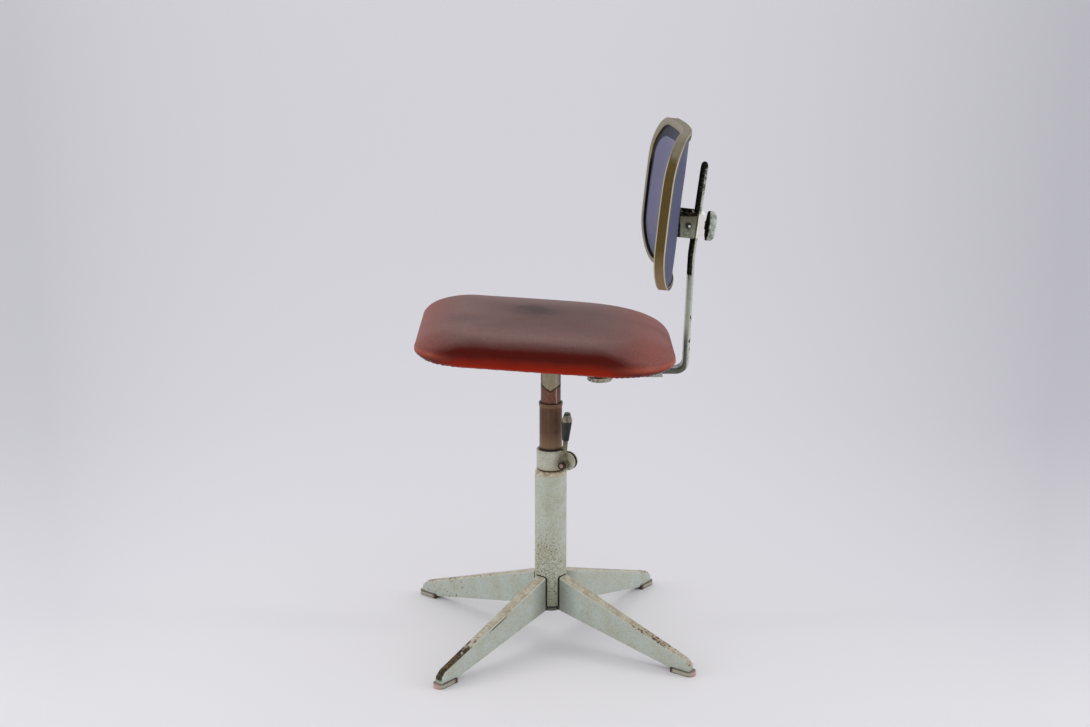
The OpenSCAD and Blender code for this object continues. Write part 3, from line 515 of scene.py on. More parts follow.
def where(m, *limits):
    """A mask that shows only where all its limits allow it: their product.

    A limit is a mask, or (value, start, end) or (value, start, end, strength). It is nothing where the
    value is at start, and 1 or its strength where the value is at end.
    """
    product = None
    for limit in limits:
        if isinstance(limit, tuple):
            value, start, end, *strength = limit
            limit = add(m, "MapRange", value, start, end, 0, *(strength or [1]))
        product = limit if product is None else add(m, "Math MULTIPLY", product, limit)
    return product


def lay(m, colour, *layers):
    """Lays tones over a colour, one after the other.

    A layer is a mask and its tone. In place of the mask it may have what a limit has: a value, its
    start, its end and, if it isn't 1, its strength.
    """
    for mask, *reach, tone in layers:
        if reach:
            mask = where(m, (mask, *reach))
        colour = add(m, "Mix", mask, colour, tone)
    return colour


def wear_to(names, material):
    """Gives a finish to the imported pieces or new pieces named."""
    for name in names:
        data = (NODES.get(name) or bpy.data.objects[name]).data
        data.materials.clear()
        data.materials.append(material)
    print(material.name, "covers", ", ".join(names))


# %% [markdown]
# ## Enamel
# The frame is sprayed in a grey-green stoving enamel. After decades it is smooth and half glossy, has
# yellowed in patches, and is chipped to brown steel where it is knocked. The chips are a fine noise
# cut at a level. A map of wear lowers that level, so each part is chipped where it really was.


# %% The enamel's recipe
def enamel(name, wear, clean, dirty, fleck=1.6, gloss=0.35, tint=None):
    """Enamel with yellowed patches 25 mm wide and chips of fleck millimetres.

    Wear is a number, or a function that gives a map of it. The paint is gone where a noise of about
    0.3 to 0.7 rises above 0.77 - 0.3 * wear. Tint is a function that lays stains, painted shade and
    painted highlights over the paint, and gives back the colour and a map of where the finish is black,
    from wear or from painted shade, and no longer shines.
    """
    m, place, xyz, normal = begin(name)
    wear = wear(m, place, xyz, normal) if callable(wear) else wear
    patch = add(m, "TexNoise", place, 1000 / 25, 4.0, 0.6)
    colour = lay(m, clean, (patch, 0.42, 0.66, dirty))
    shine = 0.35
    if tint:
        colour, black = tint(m, place, xyz, normal, colour)
        shine = add(m, "MapRange", black, 0, 1, 0.35, 0.0)
    grain = add(m, "TexNoise", place, 1000 / 3, 4.0, 0.75)
    grit = add(m, "TexNoise", place, 1000 / fleck / 2, 3.0, 0.6)
    level = add(m, "Math MULTIPLY_ADD", wear, 0.3, grit)
    chip = add(m, "MapRange", level, 0.76, 0.785)
    rust = add(m, "Mix", grain, "#1c140d", "#7a5a3c")
    colour = lay(m, colour, (grain, 0.50, 0.68, 0.5, "#7d7a64"), (level, 0.72, 0.77, "#86765a"),
                 (chip, rust))
    rough = add(m, "MapRange", chip, 0, 1, gloss, 0.7)
    peel = add(m, "TexNoise", place, 1000 / 4, 1.0)
    height = add(m, "Math MULTIPLY_ADD", chip, -2.0, peel)
    return finish(m, colour, rough, height, 0.05, **{"Specular IOR Level": shine})


# %% Enamel of the column
# The few chips lie low on the tube, at shoe height, and oil from the clamp has browned the shoulder;
# the pale blots in that brown are painted highlights. The foot of the tube is darkened by painted shade,
# and the inside of the tube and the edges of the leg slots are painted almost black as shade.
def column_wear(m, place, xyz, normal):
    low = add(m, "MapRange", xyz["Z"], 0.245, 0.13, 0, 0.54)
    clear = add(m, "MapRange", xyz["Y"], 0.006, 0.020, 1.0, 0.5)
    return add(m, "Math MULTIPLY", low, clear)


def column_stain(m, place, xyz, normal, colour):
    rough = add(m, "TexNoise", place, 1000 / 6, 3.0, 0.6)
    olive = where(m, (rough, 0.48, 0.62, 0.55), (xyz["Z"], 0.19, 0.12))
    high = add(m, "Math MULTIPLY_ADD", rough, 0.008, xyz["Z"])
    drop = add(m, "MapRange", rough, 0.38, 0.62)
    brown = add(m, "Mix", drop, "#7a6244", "#e6d4b4")
    # Painted shade darkens the foot of the tube, and the pale blots in the shoulder's brown are painted
    # highlights.
    colour = lay(m, colour, (xyz["Z"], 0.115, 0.055, 0.7, "#727a68"), (olive, "#8c8e6b"),
                 (high, 0.2590, 0.2655, 0.8, brown))
    flat = add(m, "CombineXYZ", xyz["X"], xyz["Y"])
    radius = add(m, "VectorMath LENGTH", flat)
    # Painted shade: the inside of the tube and the edges of the leg slots are almost black.
    inside_shade = where(m, (radius, 0.0238, 0.0234), (xyz["Z"], 0.255, 0.254))
    return add(m, "Mix", inside_shade, colour, "#14150f"), inside_shade


wear_to(["column_tube"], enamel("column_enamel", column_wear, "#b6bbae", "#a9aa93", 1.2, tint=column_stain))

# %% Enamel of the legs
# One finish serves four legs. The coordinates are turned until the legs lie on the axes: the larger of
# |x| and |y| is then the distance along a leg, and their signs tell the legs apart. Shoes have rubbed
# the folded top brown, and one leg is bare steel towards its tip. That leg also has a thin scratch along
# its side, which sinks outwards with the leg by LEG_FALL. The faces that look up are painted paler as a
# highlight, and along the lower fold this shows as a pale line. Painted shade darkens one leg's side next
# to the column, and the part of each leg inside the column is painted black as shade.
LEG_TURN = math.radians(38.3)
LEG_FALL = 0.3232


def leg_frame(m, place):
    """Distance along the leg, and x and y in the turned frame."""
    turned = add(m, "Mapping", {"Vector": place, "Rotation": (0, 0, LEG_TURN)})
    flat = add(m, "SeparateXYZ", turned).node.outputs
    across = [add(m, "Math ABSOLUTE", flat[k]) for k in "XY"]
    return add(m, "Math MAXIMUM", across[0], across[1]), flat


def leg_wear(m, place, xyz, normal):
    along, flat = leg_frame(m, place)
    up = add(m, "SeparateXYZ", normal).node.outputs["Z"]
    top = add(m, "MapRange", up, 0.1, 0.5, 0.1, 0.8)
    knock = add(m, "TexNoise", place, 1000 / 50, 2.0)
    knock = add(m, "MapRange", knock, 0.44, 0.62)
    toe = add(m, "MapRange", along, 0.08, 0.22, 0.3)
    bumped = add(m, "Math MULTIPLY", top, knock)
    bumped = add(m, "Math MULTIPLY_ADD", bumped, toe, 0.08)
    far_left = add(m, "MapRange", flat["Y"], -0.13, -0.16, 0, 0.34)
    return add(m, "Math MAXIMUM", bumped, far_left)


def leg_stain(m, place, xyz, normal, colour):
    along, flat = leg_frame(m, place)
    facing = add(m, "SeparateXYZ", normal).node.outputs
    up = facing["Z"]
    smear = add(m, "TexNoise", place, 1000 / 12, 5.0, 0.7)
    brown = add(m, "MapRange", smear, 0.42, 0.6, 0.25)
    brown = where(m, brown, (up, 0.55, 0.8))
    rubbed = add(m, "Mix", smear, "#6c5a42", "#b3a68c")
    ridge = add(m, "MapRange", up, 0.25, 0.5)
    line = where(m, (facing["X"], -0.15, -0.4, 0.75), ridge)
    # Painted shade on one leg's side, next to the column.
    root_shade = where(m, (along, 0.058, 0.026, 0.6), (flat["Y"], 0.0, 0.01), (up, 0.4, 0.2))
    reach = add(m, "Math MULTIPLY_ADD", smear, 0.16, flat["X"])
    tip = add(m, "VectorMath DOT_PRODUCT", normal, (math.cos(LEG_TURN), -math.sin(LEG_TURN), 0))
    tip = add(m, "MapRange", tip, 0.3, 0.5)
    ridge = add(m, "Math MAXIMUM", ridge, tip)
    bare = where(m, (reach, 0.262, 0.282), ridge, (xyz["Z"], 0.009, 0.013))
    steel = add(m, "Mix", smear, "#0c0a08", "#5c4c3e")
    sunk = add(m, "Math MULTIPLY_ADD", flat["X"], LEG_FALL, xyz["Z"])
    sunk = add(m, "Math MULTIPLY_ADD", smear, 0.002, sunk)
    scratch = band(m, sunk, 0.1030, 0.0014, 0.0007)
    scratch = where(m, scratch, (flat["X"], 0.114, 0.120), (flat["X"], 0.158, 0.147), (flat["Y"], 0.0, 0.002))
    # Painted light: the faces that look up are paler as a highlight, one leg's root beside the column is
    # painted shade, and the part inside the column is painted black as shade.
    colour = lay(m, colour, (up, 0.2, 0.45, 0.6, "#c3bda8"), (brown, rubbed), (line, "#4a3d2e"),
                 (root_shade, "#50534a"), (bare, steel), (scratch, "#3d3224"),
                 (along, 0.0250, 0.0245, "#14150f"))
    return colour, bare


LEGS = ["leg_front_left", "leg_rear_left", "leg_rear_right", "leg_front_right"]
wear_to(LEGS, enamel("leg_enamel", leg_wear, "#b4bcb4", "#aeb1a1", 2.0, tint=leg_stain))


# %% Enamel of the clamp ring
# The bolt drips rust and oil onto the ring beside it, and dirt sits along the ring's lower edge. The
# faces between its two ears and the ring's underside are painted near black as shade. SPLIT points out
# of the ring through the gap between them.
SPLIT = (math.cos(math.radians(60)), math.sin(math.radians(60)))
BOLT_END = (0.022, 0.021, 0.277)


def collar_stain(m, place, xyz, normal, colour):
    rough = add(m, "TexNoise", place, 1000 / 5, 4.0, 0.65)
    away = add(m, "VectorMath DISTANCE", place, BOLT_END)
    away = add(m, "Math MULTIPLY_ADD", rough, 0.012, away)
    low = add(m, "Math MULTIPLY_ADD", rough, 0.004, xyz["Z"])
    colour = lay(m, colour, (low, 0.2735, 0.2690, 0.6, "#a58c68"), (away, 0.0165, 0.0105, 0.8, "#6f5a3f"))
    across = add(m, "VectorMath DOT_PRODUCT", place, (SPLIT[1], -SPLIT[0], 0))
    out = add(m, "VectorMath DOT_PRODUCT", place, (*SPLIT, 0))
    # Painted shade: near black between the two ears and under the ring.
    gap_shade = where(m, band(m, across, 0, 0.0027, 0.0023), (out, 0.012, 0.014))
    under = add(m, "MapRange", xyz["Z"], 0.2674, 0.2670)
    gap_shade = add(m, "Math MAXIMUM", gap_shade, under)
    return add(m, "Mix", gap_shade, colour, "#1a1610"), gap_shade


wear_to(["clamp_collar"], enamel("collar_enamel", 0.3, "#b7b8a9", "#a6a28c", 1.4, tint=collar_stain))
wear_to(["seat_carrier", "bar_guide", "seat_plate"], enamel("frame_enamel", 0.45, "#a4aba2", "#9d9a86", 2.0))
wear_to(["base_cap"], enamel("cap_enamel", 0.5, "#6d766c", "#5a5f54"))
# The hub shows only through the leg slots, so its enamel is painted near black as shade.
wear_to(["leg_hub"], enamel("hub_enamel", 0.5, "#2c2f2a", "#24241e"))


# %% Enamel of the post
# Above a ragged V the post keeps its pale enamel, scratched by the sleeve. Below it the metal has gone
# red-brown, and a pale streak down it is a painted highlight. All along its front and rear the post is
# darkened by painted shade.
def post_stain(m, place, xyz, normal, colour):
    side = add(m, "Math ABSOLUTE", xyz["Y"])
    drawn = add(m, "Mapping", {"Vector": place, "Scale": (1, 1, 0.35)})
    rough = add(m, "TexNoise", drawn, 1000 / 8, 4.0, 0.6)
    level = add(m, "Math MULTIPLY_ADD", side, -0.55, xyz["Z"])
    level = add(m, "Math MULTIPLY_ADD", rough, 0.006, level)
    colour = add(m, "Mix", rough, "#857358", colour)
    scratch = where(m, band(m, rough, 0.5, 0.02, 0.008, 0.6), (level, 0.402, 0.394))
    # A painted highlight: a pale streak 11 mm behind the axis.
    streak = add(m, "Math MULTIPLY_ADD", rough, 0.006, xyz["Y"])
    streak = band(m, streak, 0.011, 0.0013, 0.0004, 0.6)
    edge = band(m, level, 0.3915, 0.0016, 0.0007)
    red = add(m, "Mix", rough, "#4e2716", "#7f4a35")
    # The front and rear edges, beyond 12 mm from the axis, are darkened as painted shade.
    return lay(m, colour, (scratch, "#332c22"), (level, 0.3915, 0.3905, red), (streak, "#c2a894"),
               (side, 0.0122, 0.0136, 0.85, "#1c1712"), (edge, "#1f1a15")), edge


wear_to(["seat_post"], enamel("post_enamel", 0.1, "#aaa48e", "#95886c", 2.0, 0.22, tint=post_stain))

# %% Enamel of the back bar
# The middle line of the bar is known, so the distance behind it tells its front from its rear. On its
# upper part the slide has rubbed the front to black steel. The rear edge is painted pale as a highlight,
# and low down the front is painted dark as shade.
# BAR_FOOT is where the line starts, y, z and its lean, and KINK is the height from which it leans more.
BAR_FOOT = (0.1994, 0.419, math.tan(math.radians(2.05)))
KINK = (0.591, math.tan(math.radians(7.2)) - math.tan(math.radians(2.05)))


def bar_stain(m, place, xyz, normal, colour):
    run = add(m, "Math SUBTRACT", xyz["Z"], BAR_FOOT[1])
    line = add(m, "Math MULTIPLY_ADD", run, BAR_FOOT[2], BAR_FOOT[0])
    over = add(m, "Math SUBTRACT", xyz["Z"], KINK[0])
    over = add(m, "Math MAXIMUM", over, 0.0)
    line = add(m, "Math MULTIPLY_ADD", over, KINK[1], line)
    behind = add(m, "Math SUBTRACT", xyz["Y"], line)
    rough = add(m, "TexNoise", place, 1000 / 8, 4.0, 0.65)
    high = add(m, "Math MULTIPLY_ADD", rough, 0.02, xyz["Z"])
    front = add(m, "Math MULTIPLY_ADD", rough, 0.002, behind)
    shaded = where(m, (front, 0.0018, 0.0008), (high, 0.500, 0.470, 0.8))
    # Painted light: a pale highlight along the rear edge, and painted shade on the front low down.
    colour = lay(m, colour, (behind, 0.0004, 0.0020, 0.6, "#c6ccc0"), (shaded, "#2c2f26"))
    black = where(m, (front, 0.0022, 0.0013), (high, 0.570, 0.574))
    top = where(m, (high, 0.690, 0.700), (rough, 0.50, 0.44))
    tip = where(m, (high, 0.728, 0.732))
    fleck = where(m, (rough, 0.53, 0.57, 0.8), (high, 0.665, 0.675))
    nick = add(m, "TexNoise", place, 1000 / 7, 1.0)
    nick = where(m, (nick, 0.62, 0.65), (xyz["Z"], 0.55, 0.53), (behind, 0.0008, 0.0020))
    for part in (top, tip, fleck, nick):
        black = add(m, "Math MAXIMUM", black, part)
    steel = add(m, "Mix", rough, "#030303", "#20221d")
    return add(m, "Mix", black, colour, steel), black


wear_to(["back_bar"], enamel("bar_enamel", 0.15, "#a0a79a", "#979c8a", gloss=0.2, tint=bar_stain))


# %% Enamel of the bracket and the knobs
# The bracket's upper flange and the strip next to the cover are near black, and the strip beside the
# bar is painted near black as shade. The bar's middle line is y = BAR_MIDDLE + BAR_LEAN * z up here.
BAR_LEAN = BAR_FOOT[2] + KINK[1]
BAR_MIDDLE = BAR_FOOT[0] - BAR_FOOT[1] * BAR_FOOT[2] - KINK[0] * KINK[1]


def bracket_stain(m, place, xyz, normal, colour):
    rough = add(m, "TexNoise", place, 1000 / 7, 4.0, 0.7)
    colour = lay(m, colour, (xyz["Z"], 0.628, 0.650, "#5b5844"), (rough, 0.6, 0.35, "#66634c"))
    top = add(m, "Math MULTIPLY_ADD", rough, 0.006, xyz["Z"])
    top = add(m, "MapRange", top, 0.6545, 0.6560)
    web = add(m, "Math MULTIPLY_ADD", rough, -0.004, xyz["Y"])
    web = add(m, "MapRange", web, 0.1860, 0.1840)
    # Painted shade beside the bar: the strip next to it is near black.
    bar = add(m, "Math MULTIPLY_ADD", xyz["Z"], -BAR_LEAN, xyz["Y"])
    bar = add(m, "MapRange", bar, BAR_MIDDLE + 0.0001, BAR_MIDDLE + 0.0008)
    dark = add(m, "Math MAXIMUM", top, web)
    dark = add(m, "Math MAXIMUM", dark, bar)
    return add(m, "Mix", dark, colour, "#0d0b0a"), dark


# The star knob's hub and the first 2 mm of its body, next to the bar, are painted near black as shade.
# Its body begins 15.55 mm behind the bar's middle line, measured square to the bar, and 1.008 times
# that on the level.
KNOB_BODY = 15.55 * MM * 1.008


def star_stain(m, place, xyz, normal, colour):
    rough = add(m, "TexNoise", place, 1000 / 9, 3.0)
    colour = lay(m, colour, (rough, 0.50, 0.62, 0.6, "#cfd8cc"), (rough, 0.45, 0.36, 0.7, "#5f6152"))
    # Painted shade: near black on the hub and the first 2 mm of the body, next to the bar.
    face = add(m, "Math MULTIPLY_ADD", xyz["Z"], -BAR_LEAN, xyz["Y"])
    face = add(m, "Math MULTIPLY_ADD", rough, 0.001, face)
    body = BAR_MIDDLE + KNOB_BODY
    face = add(m, "MapRange", face, body + 0.0032, body + 0.0022)
    return add(m, "Mix", face, colour, "#10100d"), face


# The knob under the seat is rusty in patches, most of all towards the front, and its top, close under
# the seat, is painted black as shade.
def rusty_knob(m, place, xyz, normal, colour):
    rough = add(m, "TexNoise", place, 1000 / 9, 4.0, 0.7)
    left = add(m, "MapRange", xyz["Y"], 0.078, 0.062, 0, 0.12)
    rough = add(m, "Math ADD", rough, left)
    colour = lay(m, colour, (rough, 0.52, 0.62, 0.75, "#4d3a32"))
    # Painted shade under the seat: the top of the knob is black.
    top = add(m, "MapRange", xyz["Z"], 0.4085, 0.4095)
    return add(m, "Mix", top, colour, "#120c08"), top


wear_to(["backrest_bracket"], enamel("bracket_enamel", 0.35, "#9ca68f", "#8c9180", tint=bracket_stain))
wear_to(["depth_knob"], enamel("knob_enamel", 0.5, "#c2bfae", "#a79f88", tint=rusty_knob))
wear_to(["height_knob"], enamel("star_enamel", 0.25, "#b2bbae", "#a8ae9d", tint=star_stain))

# %% [markdown]
# ## Steel and lacquer
# The clamp's bolt and lever are mild steel gone brown. The saddle, the guide ring, the washer and the
# staples are plated and still bright. The sleeve is a tube in brown lacquer, scored lengthwise.


# %% Steel
def steel(name, deep, pale, metallic, gloss, grain=5.0):
    """Steel whose colour drifts between two tones in blots of grain millimetres."""
    m, place, xyz, normal = begin(name)
    cloud = add(m, "TexNoise", place, 1000 / grain / 2, 5.0, 0.7)
    cloud = add(m, "MapRange", cloud, 0.35, 0.68)
    colour = add(m, "Mix", cloud, deep, pale)
    rough = add(m, "MapRange", cloud, 0, 1, gloss, gloss + 0.2)
    return finish(m, colour, rough, cloud, 0.04, **{"Metallic": metallic})


wear_to(["bracket_rivets", "column_bush", "clamp_nut", "sleeve_plug", "seat_screws", "bar_stop",
         "depth_screw", "height_screw", "carriage"], steel("brown_steel", "#2a211a", "#5f4e3d", 0.4, 0.4))
wear_to(["clamp_lever"], steel("lever_steel", "#4c452f", "#857c60", 0.3, 0.3))
wear_to(["guide_ring", "thrust_washer", "seat_staples"],
        steel("plated_steel", "#8f8d84", "#d2d0c8", 0.8, 0.25))
wear_to(["saddle"], steel("saddle_plate", "#ece9e0", "#fffdf6", 0.8, 0.3, 9.0))

# %% Heads of the bolt and the pin
# The bolt's head is bare in its middle, and a ring of old oil lies round its rim. The pin's head is
# dark steel, and the pale spot set off its middle is a painted highlight.
def round_head(name, middle, axis, inner, pale, dark):
    """Steel that is pale within the inner radius of an axis through the middle, and dark beyond it."""
    m, place, xyz, normal = begin(name)
    away = add(m, "VectorMath SUBTRACT", place, middle)
    away = add(m, "VectorMath CROSS_PRODUCT", away, axis)
    away = add(m, "VectorMath LENGTH", away)
    colour = lay(m, pale, (away, inner, inner + 0.5 * MM, dark))
    grain = add(m, "TexNoise", place, 1000 / 2, 2.0)
    return finish(m, colour, 0.3, grain, 0.03, **{"Metallic": 0.4})


wear_to(["clamp_bolt"], round_head("bolt_steel", JOINTS["lever_swing"]["pos_m"], (SPLIT[1], -SPLIT[0], 0),
                                   2.8 * MM, "#98786a", "#221a13"))
# The pin's pale spot is a painted highlight, 1.3 mm to the rear of its middle and 0.9 mm below it.
wear_to(["pivot_pin"], round_head("pin_steel", (0, PIVOT[1] + 1.3 * MM, PIVOT[2] - 0.9 * MM), (1, 0, 0),
                                  1.6 * MM, "#dedfd0", "#191a14"))

# %% Lacquer of the sleeve
# From the top: a dark rim, a rubbed lip, brown lacquer, a paler stretch low down that is a painted
# highlight, and grease inside the column.
m, place, xyz, normal = begin("sleeve_lacquer")
drawn = add(m, "Mapping", {"Vector": place, "Scale": (1, 1, 0.08)})
score = add(m, "TexNoise", drawn, 1000 / 5, 5.0, 0.7)
score = add(m, "MapRange", score, 0.36, 0.64)
cloud = add(m, "TexNoise", place, 1000 / 12, 5.0, 0.65)
high = xyz["Z"]
# The paler stretch low down, from 0.326 m to 0.306 m, is a painted highlight.
colour = lay(m, "#4e3320", (score, "#604936"), (cloud, 0.4, 0.65, 0.8, "#5a3a26"),
             (high, 0.326, 0.306, 0.45, "#8d7459"), (high, 0.3610, 0.3640, 0.6, "#7d6146"),
             (high, 0.3684, 0.3690, "#140e0a"), (high, 0.3015, 0.2985, "#241b13"))
rough = add(m, "MapRange", score, 0, 1, 0.25, 0.42)
wear_to(["sleeve_tube"], finish(m, colour, rough, score, 0.03, **{"Specular IOR Level": 0.25}))

# %% [markdown]
# ## Plastic and rubber
# The lever's grip is black bakelite, and the bronze on its upper cone is partly wear and partly a
# painted highlight. The glides are grey rubber with pink dust ground into their toes. The backrest's
# edge is a rubber that has browned.

# %% Bakelite of the grip
m, place, xyz, normal = begin("grip_bakelite")
drawn = add(m, "Mapping", {"Vector": place, "Scale": (1, 1, 0.12)})
rub = add(m, "TexNoise", drawn, 1000 / 8, 3.0, 0.6)
rub = add(m, "MapRange", rub, 0.40, 0.60)
# The bronze on the upper cone is partly wear and partly a painted highlight.
cone = where(m, (xyz["Z"], 0.3450, 0.3460), (xyz["Z"], 0.3560, 0.3550))
bronze = add(m, "Mix", rub, "#2c2823", "#a69a85")
colour = lay(m, "#141413", (rub, "#33352f"), (cone, bronze))
rough = add(m, "MapRange", rub, 0, 1, 0.15, 0.35)
wear_to(["lever_grip"], finish(m, colour, rough, rub, 0.03, **{"Specular IOR Level": 0.3}))

# %% Rubber of the glides
m, place, xyz, normal = begin("glide_rubber")
along, flat = leg_frame(m, place)
cloud = add(m, "TexNoise", place, 1000 / 7, 5.0, 0.7)
toe = add(m, "Math MULTIPLY_ADD", cloud, 0.012, along)
rough = add(m, "Math MULTIPLY_ADD", cloud, 0.003, xyz["Z"])
groove = band(m, rough, 0.0086, 0.0014, 0.0006, 0.8)
colour = lay(m, "#7f7a6b", (cloud, "#b9b5a6"), (groove, "#4d4539"), (rough, 0.0036, 0.0026, 0.7, "#5b554a"),
             (toe, 0.2680, 0.2730, 0.7, "#c49a92"), (toe, 0.2430, 0.2380, "#3c2c1e"))
wear_to(["glide_front_left", "glide_rear_left", "glide_rear_right", "glide_front_right"],
        finish(m, colour, 0.6, cloud, 0.1))

# %% Rubber of the backrest's edge
# The outer band has browned to khaki and is pinker low down. Its two beads are rubbed pale, the front
# lip is grey-beige, dust greys whatever faces up, and below the top the inner wall of the lips is black,
# partly dirt and partly painted shade.
m, place, xyz, normal = begin("edge_rubber")
behind = add(m, "Attribute", attribute_name="behind").node.outputs["Fac"]
proud = add(m, "Attribute", attribute_name="proud").node.outputs["Fac"]
cloud = add(m, "TexNoise", place, 1000 / 14, 5.0, 0.7)
grain = add(m, "TexNoise", place, 1000 / 1.6, 2.0)
pinkish = add(m, "Mix", grain, "#8c7450", "#b69d80")
lips = band(m, behind, 7.5, 5.5, 6.0)
beige = add(m, "Mix", cloud, "#a59d85", "#ccc6b2")
high = add(m, "SeparateXYZ", normal).node.outputs["Z"]
dust = add(m, "Math MULTIPLY_ADD", cloud, 0.3, high)
grey = add(m, "Mix", cloud, "#5b5444", "#948d7c")
# The inner wall of the lips is black below the top: partly dirt, partly painted shade.
wall = where(m, (proud, -6.1, -6.3), (xyz["Z"], 0.722, 0.705))
colour = lay(m, "#463712", (cloud, "#6e5b30"), (grain, "#544420"), (xyz["Z"], 0.63, 0.57, 0.8, pinkish),
             (lips, beige), (behind, 0.9, 0.4, "#8d8678"), (dust, 0.66, 0.80, 0.85, grey),
             (behind, 14.5, 14.9, "#5c5957"), (wall, "#12100d"))
wear_to(["rubber_edge"], finish(m, colour, 0.62, grain, 0.08, **{"Specular IOR Level": 0.15}))

# %% [markdown]
# ## Vinyl
# Both covers are calendered vinyl with a fine leather grain. The seat's was orange-red. Years of
# sitting have ground a grey film into its top, with two darker patches; the film is partly dirt and
# partly a painted sheen. The film ends at the crest along the sides and reaches further down at the
# front and at the rear. On the red sides painted shade darkens them towards the crest and on the
# turned-under bottom, painted highlights lie low at the front and rear corners, and a pale painted
# highlight runs along the crest. The backrest's vinyl was blue-violet and has greyed in front.

# %% Vinyl of the seat
m, place, xyz, normal = begin("seat_vinyl")
t = math.radians(SEAT_TILT)
lift = add(m, "VectorMath DOT_PRODUCT", place, (0, math.sin(t), math.cos(t)))
lift = add(m, "Math SUBTRACT", lift, SEAT_ORIGIN[2] * math.cos(t))
cloud = add(m, "TexNoise", place, 1000 / 45, 4.0, 0.6)
drawn = add(m, "Mapping", {"Vector": place, "Scale": (1, 0.1, 1)})
streak = add(m, "TexNoise", drawn, 1000 / 4, 4.0, 0.7)
grain = add(m, "TexNoise", place, 1000 / 2.0, 2.0, 0.6)
end = add(m, "Math ADD", xyz["Y"], 0.025)
end = add(m, "Math ABSOLUTE", end)
end = add(m, "MapRange", end, 0.085, 0.175, interpolation_type="SMOOTHSTEP")
edge = add(m, "Math MULTIPLY_ADD", cloud, 0.008, lift)
edge = add(m, "Math MULTIPLY_ADD", end, 0.020, edge)
# The grey film on the top is partly dirt and partly a painted sheen.
dirt_and_sheen = add(m, "MapRange", edge, 0.032, 0.042)
gloss = band(m, lift, 0.013, 0.008, 0.001, 0.5)
gloss = where(m, gloss, add(m, "Math POWER", end, 1.5))
# The sides carry painted light: painted shade towards the crest, a painted highlight low at the front and
# rear corners, and painted shade on the lowest 3 mm, which turn under.
side = lay(m, "#a8260a", (edge, 0.006, 0.025, "#4e110a"), (gloss, "#e0765c"),
           (lift, 0.0030, 0.0010, 0.8, "#3a0f0a"))
# A pale painted highlight along the crest, except at the front and the rear.
crest = band(m, lift, 0.0415, 0.014, 0.0, 0.45)
crest = where(m, crest, add(m, "Math SUBTRACT", 1.0, end))
grey = lay(m, "#3c2420", (streak, "#66433e"), (end, "#8c5650"), (crest, "#a0827c"))
colour = add(m, "Mix", dirt_and_sheen, side, grey)
for spot, reach, depth in (((-0.022, -0.019, 0.501), 0.075, 0.75), ((0.049, -0.121, 0.508), 0.07, 0.4)):
    away = add(m, "VectorMath DISTANCE", place, spot)
    away = add(m, "Math MULTIPLY_ADD", cloud, 0.09, away)
    dark = add(m, "MapRange", away, reach + 0.03, 0.045, 0, depth, interpolation_type="SMOOTHSTEP")
    dark = add(m, "Math MULTIPLY", dark, dirt_and_sheen)
    colour = add(m, "Mix", dark, colour, "#352523")
colour = lay(m, colour, (grain, 0.42, 0.62, 0.3, "#4a2724"))
rough = add(m, "MapRange", dirt_and_sheen, 0, 1, 0.22, 0.5)
seat_finish = finish(m, colour, rough, grain, 0.05, **{"Specular IOR Level": 0.05})
wear_to(["seat_cover", "seat_hem"], seat_finish)

# %% Vinyl of the backrest
m, place, xyz, normal = begin("front_vinyl")
inset = add(m, "Attribute", attribute_name="inset").node.outputs["Fac"]
cloud = add(m, "TexNoise", place, 1000 / 40, 4.0, 0.6)
grain = add(m, "TexNoise", place, 1000 / 1.8, 2.0, 0.6)
# Painted light on the front pad: towards the top the border darkens as painted shade under the edge, the pale
# line along the weld is a painted highlight, and the strip next to the rim is painted black as shade.
border = lay(m, "#65667e", (xyz["Z"], 0.680, 0.712, "#30323e"))
weld = band(m, inset, 25.0, 1.2, 0.5, 0.35)
colour = lay(m, "#60607e", (cloud, "#6f6e8a"), (inset, 25.0, 22.5, border), (weld, "#8b8ba2"),
             (inset, 9.0, 7.4, 0.9, "#0e0d10"))
wear_to(["front_cover"], finish(m, colour, 0.5, grain, 0.05, **{"Specular IOR Level": 0.15}))

m, place, xyz, normal = begin("rear_vinyl")
cloud = add(m, "TexNoise", place, 1000 / 40, 4.0, 0.6)
grain = add(m, "TexNoise", place, 1000 / 1.8, 2.0, 0.6)
colour = add(m, "Mix", cloud, "#3e4263", "#4c506f")
wear_to(["back_cover"], finish(m, colour, 0.45, grain, 0.05, **{"Specular IOR Level": 0.15}))

# %% [markdown]
# ## Plywood
# Both shells are moulded birch. The grain is a noise that is drawn out along Y.

# %% Birch plywood
m, place, xyz, normal = begin("birch_plywood")
drawn = add(m, "Mapping", {"Vector": place, "Scale": (1, 0.06, 1)})
fibre = add(m, "TexNoise", drawn, 1000 / 4, 5.0, 0.65)
cloud = add(m, "TexNoise", place, 1000 / 60, 2.0)
colour = lay(m, "#8f6a41", (fibre, "#c29a69"), (cloud, "#a67f52"))
wear_to(["seat_shell", "backrest_shell"], finish(m, colour, 0.6, fibre, 0.06))

# %% [markdown]
# ## Studio
# The room is white all round and only greyer overhead, and it gives most of the light, so the shadows
# are pale. A soft key lamp stands behind the chair. Only the base blocks it, so that the shadows of the
# legs fall towards the camera without a shadow of the seat across them. Two softboxes far out at the
# sides give tubes a bright line along each edge. The floor runs to the horizon. Its colour is painted
# darker towards the sides and lighter towards the front, a painted falloff of light as in a studio whose
# lamps point down.


# %% Lamps and room
def lamp(name, kind, place, towards, **settings):
    """A lamp of the kind given that stands at place and shines towards a point."""
    data = bpy.data.lights.new(name, kind)
    for key, value in settings.items():
        setattr(data, key, value)
    piece = bpy.data.objects.new(name, data)
    piece.location = place
    piece.rotation_euler = (Vector(towards) - Vector(place)).to_track_quat("-Z", "Y").to_euler()
    scene.collection.objects.link(piece)
    return piece


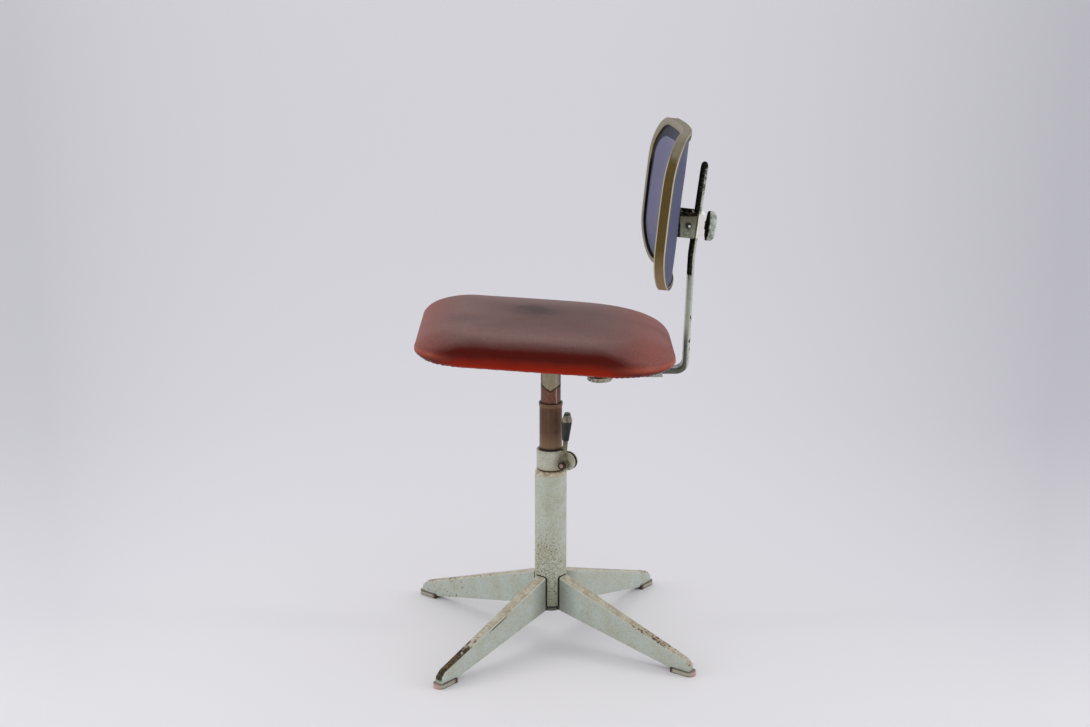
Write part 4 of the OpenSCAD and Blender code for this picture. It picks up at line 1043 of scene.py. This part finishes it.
scene.view_settings.view_transform = "Standard"
key = lamp("key", "SUN", (-1.35, -0.62, 2.4), (0, 0, 0), energy=0.32, angle=math.radians(34))
foot = bpy.data.collections.new("foot")
for name in LEGS + ["leg_hub", "base_cap"]:
    foot.objects.link(NODES[name])
key.light_linking.blocker_collection = foot

for name, side, power in (("softbox_left", -2.4, 8), ("softbox_right", 2.4, 9)):
    lamp(name, "AREA", (0.3, side, 1.1), (0, 0, 0.4), shape="RECTANGLE", size=0.4, size_y=0.9, energy=power)
world = bpy.data.worlds.new("room")
scene.world = world
world.use_nodes = True
backdrop = world.node_tree.nodes["Background"]
ray = add(world, "TexCoord").node.outputs["Object"]
height = add(world, "SeparateXYZ", ray).node.outputs["Z"]
plug(world, lay(world, "#fdfdff", (height, 0.85, 0.97, "#b0b0b2")), backdrop.inputs["Color"])
backdrop.inputs["Strength"].default_value = 0.95

# %% The floor
# The painted falloff of light follows the camera's view of the floor: slope is how steeply the camera
# looks down on a place, and aside is how far to the side it lies.
EYE_FORWARD, EYE_HEIGHT = 2.59, 1.09
floor_mesh = bpy.data.meshes.new("floor")
floor_mesh.from_pydata([(-40, -40, 0), (40, -40, 0), (40, 40, 0), (-40, 40, 0)], [], [(0, 1, 2, 3)])
floor = bpy.data.objects.new("floor", floor_mesh)
scene.collection.objects.link(floor)
m, place, xyz, normal = begin("studio_floor")
away = add(m, "Math SUBTRACT", EYE_FORWARD, xyz["X"])
away = add(m, "Math MAXIMUM", away, 1.0)
slope = add(m, "Math DIVIDE", EYE_HEIGHT, away)
aside = add(m, "Math DIVIDE", xyz["Y"], away)
near = add(m, "MapRange", slope, 0.26, 0.48, interpolation_type="SMOOTHSTEP")
left = add(m, "MapRange", aside, 0.0, -0.29)
left = add(m, "Math POWER", left, 4.0)
left = add(m, "Math MULTIPLY", left, 0.6)
right = add(m, "MapRange", aside, 0.0, 0.29)
right = add(m, "Math POWER", right, 2.2)
edge = add(m, "Math ADD", left, right)
fall = add(m, "MapRange", slope, 0.29, 0.47, 1.0, 0.12)
edge = add(m, "Math MULTIPLY", edge, fall)
# Painted light: the floor's colour falls off towards the sides and rises towards the front.
colour = lay(m, "#d7d6db", (near, "#e1e0e3"), (edge, "#bcbbc2"))
wear_to(["floor"], finish(m, colour, 0.9, **{"Specular IOR Level": 0.2}))
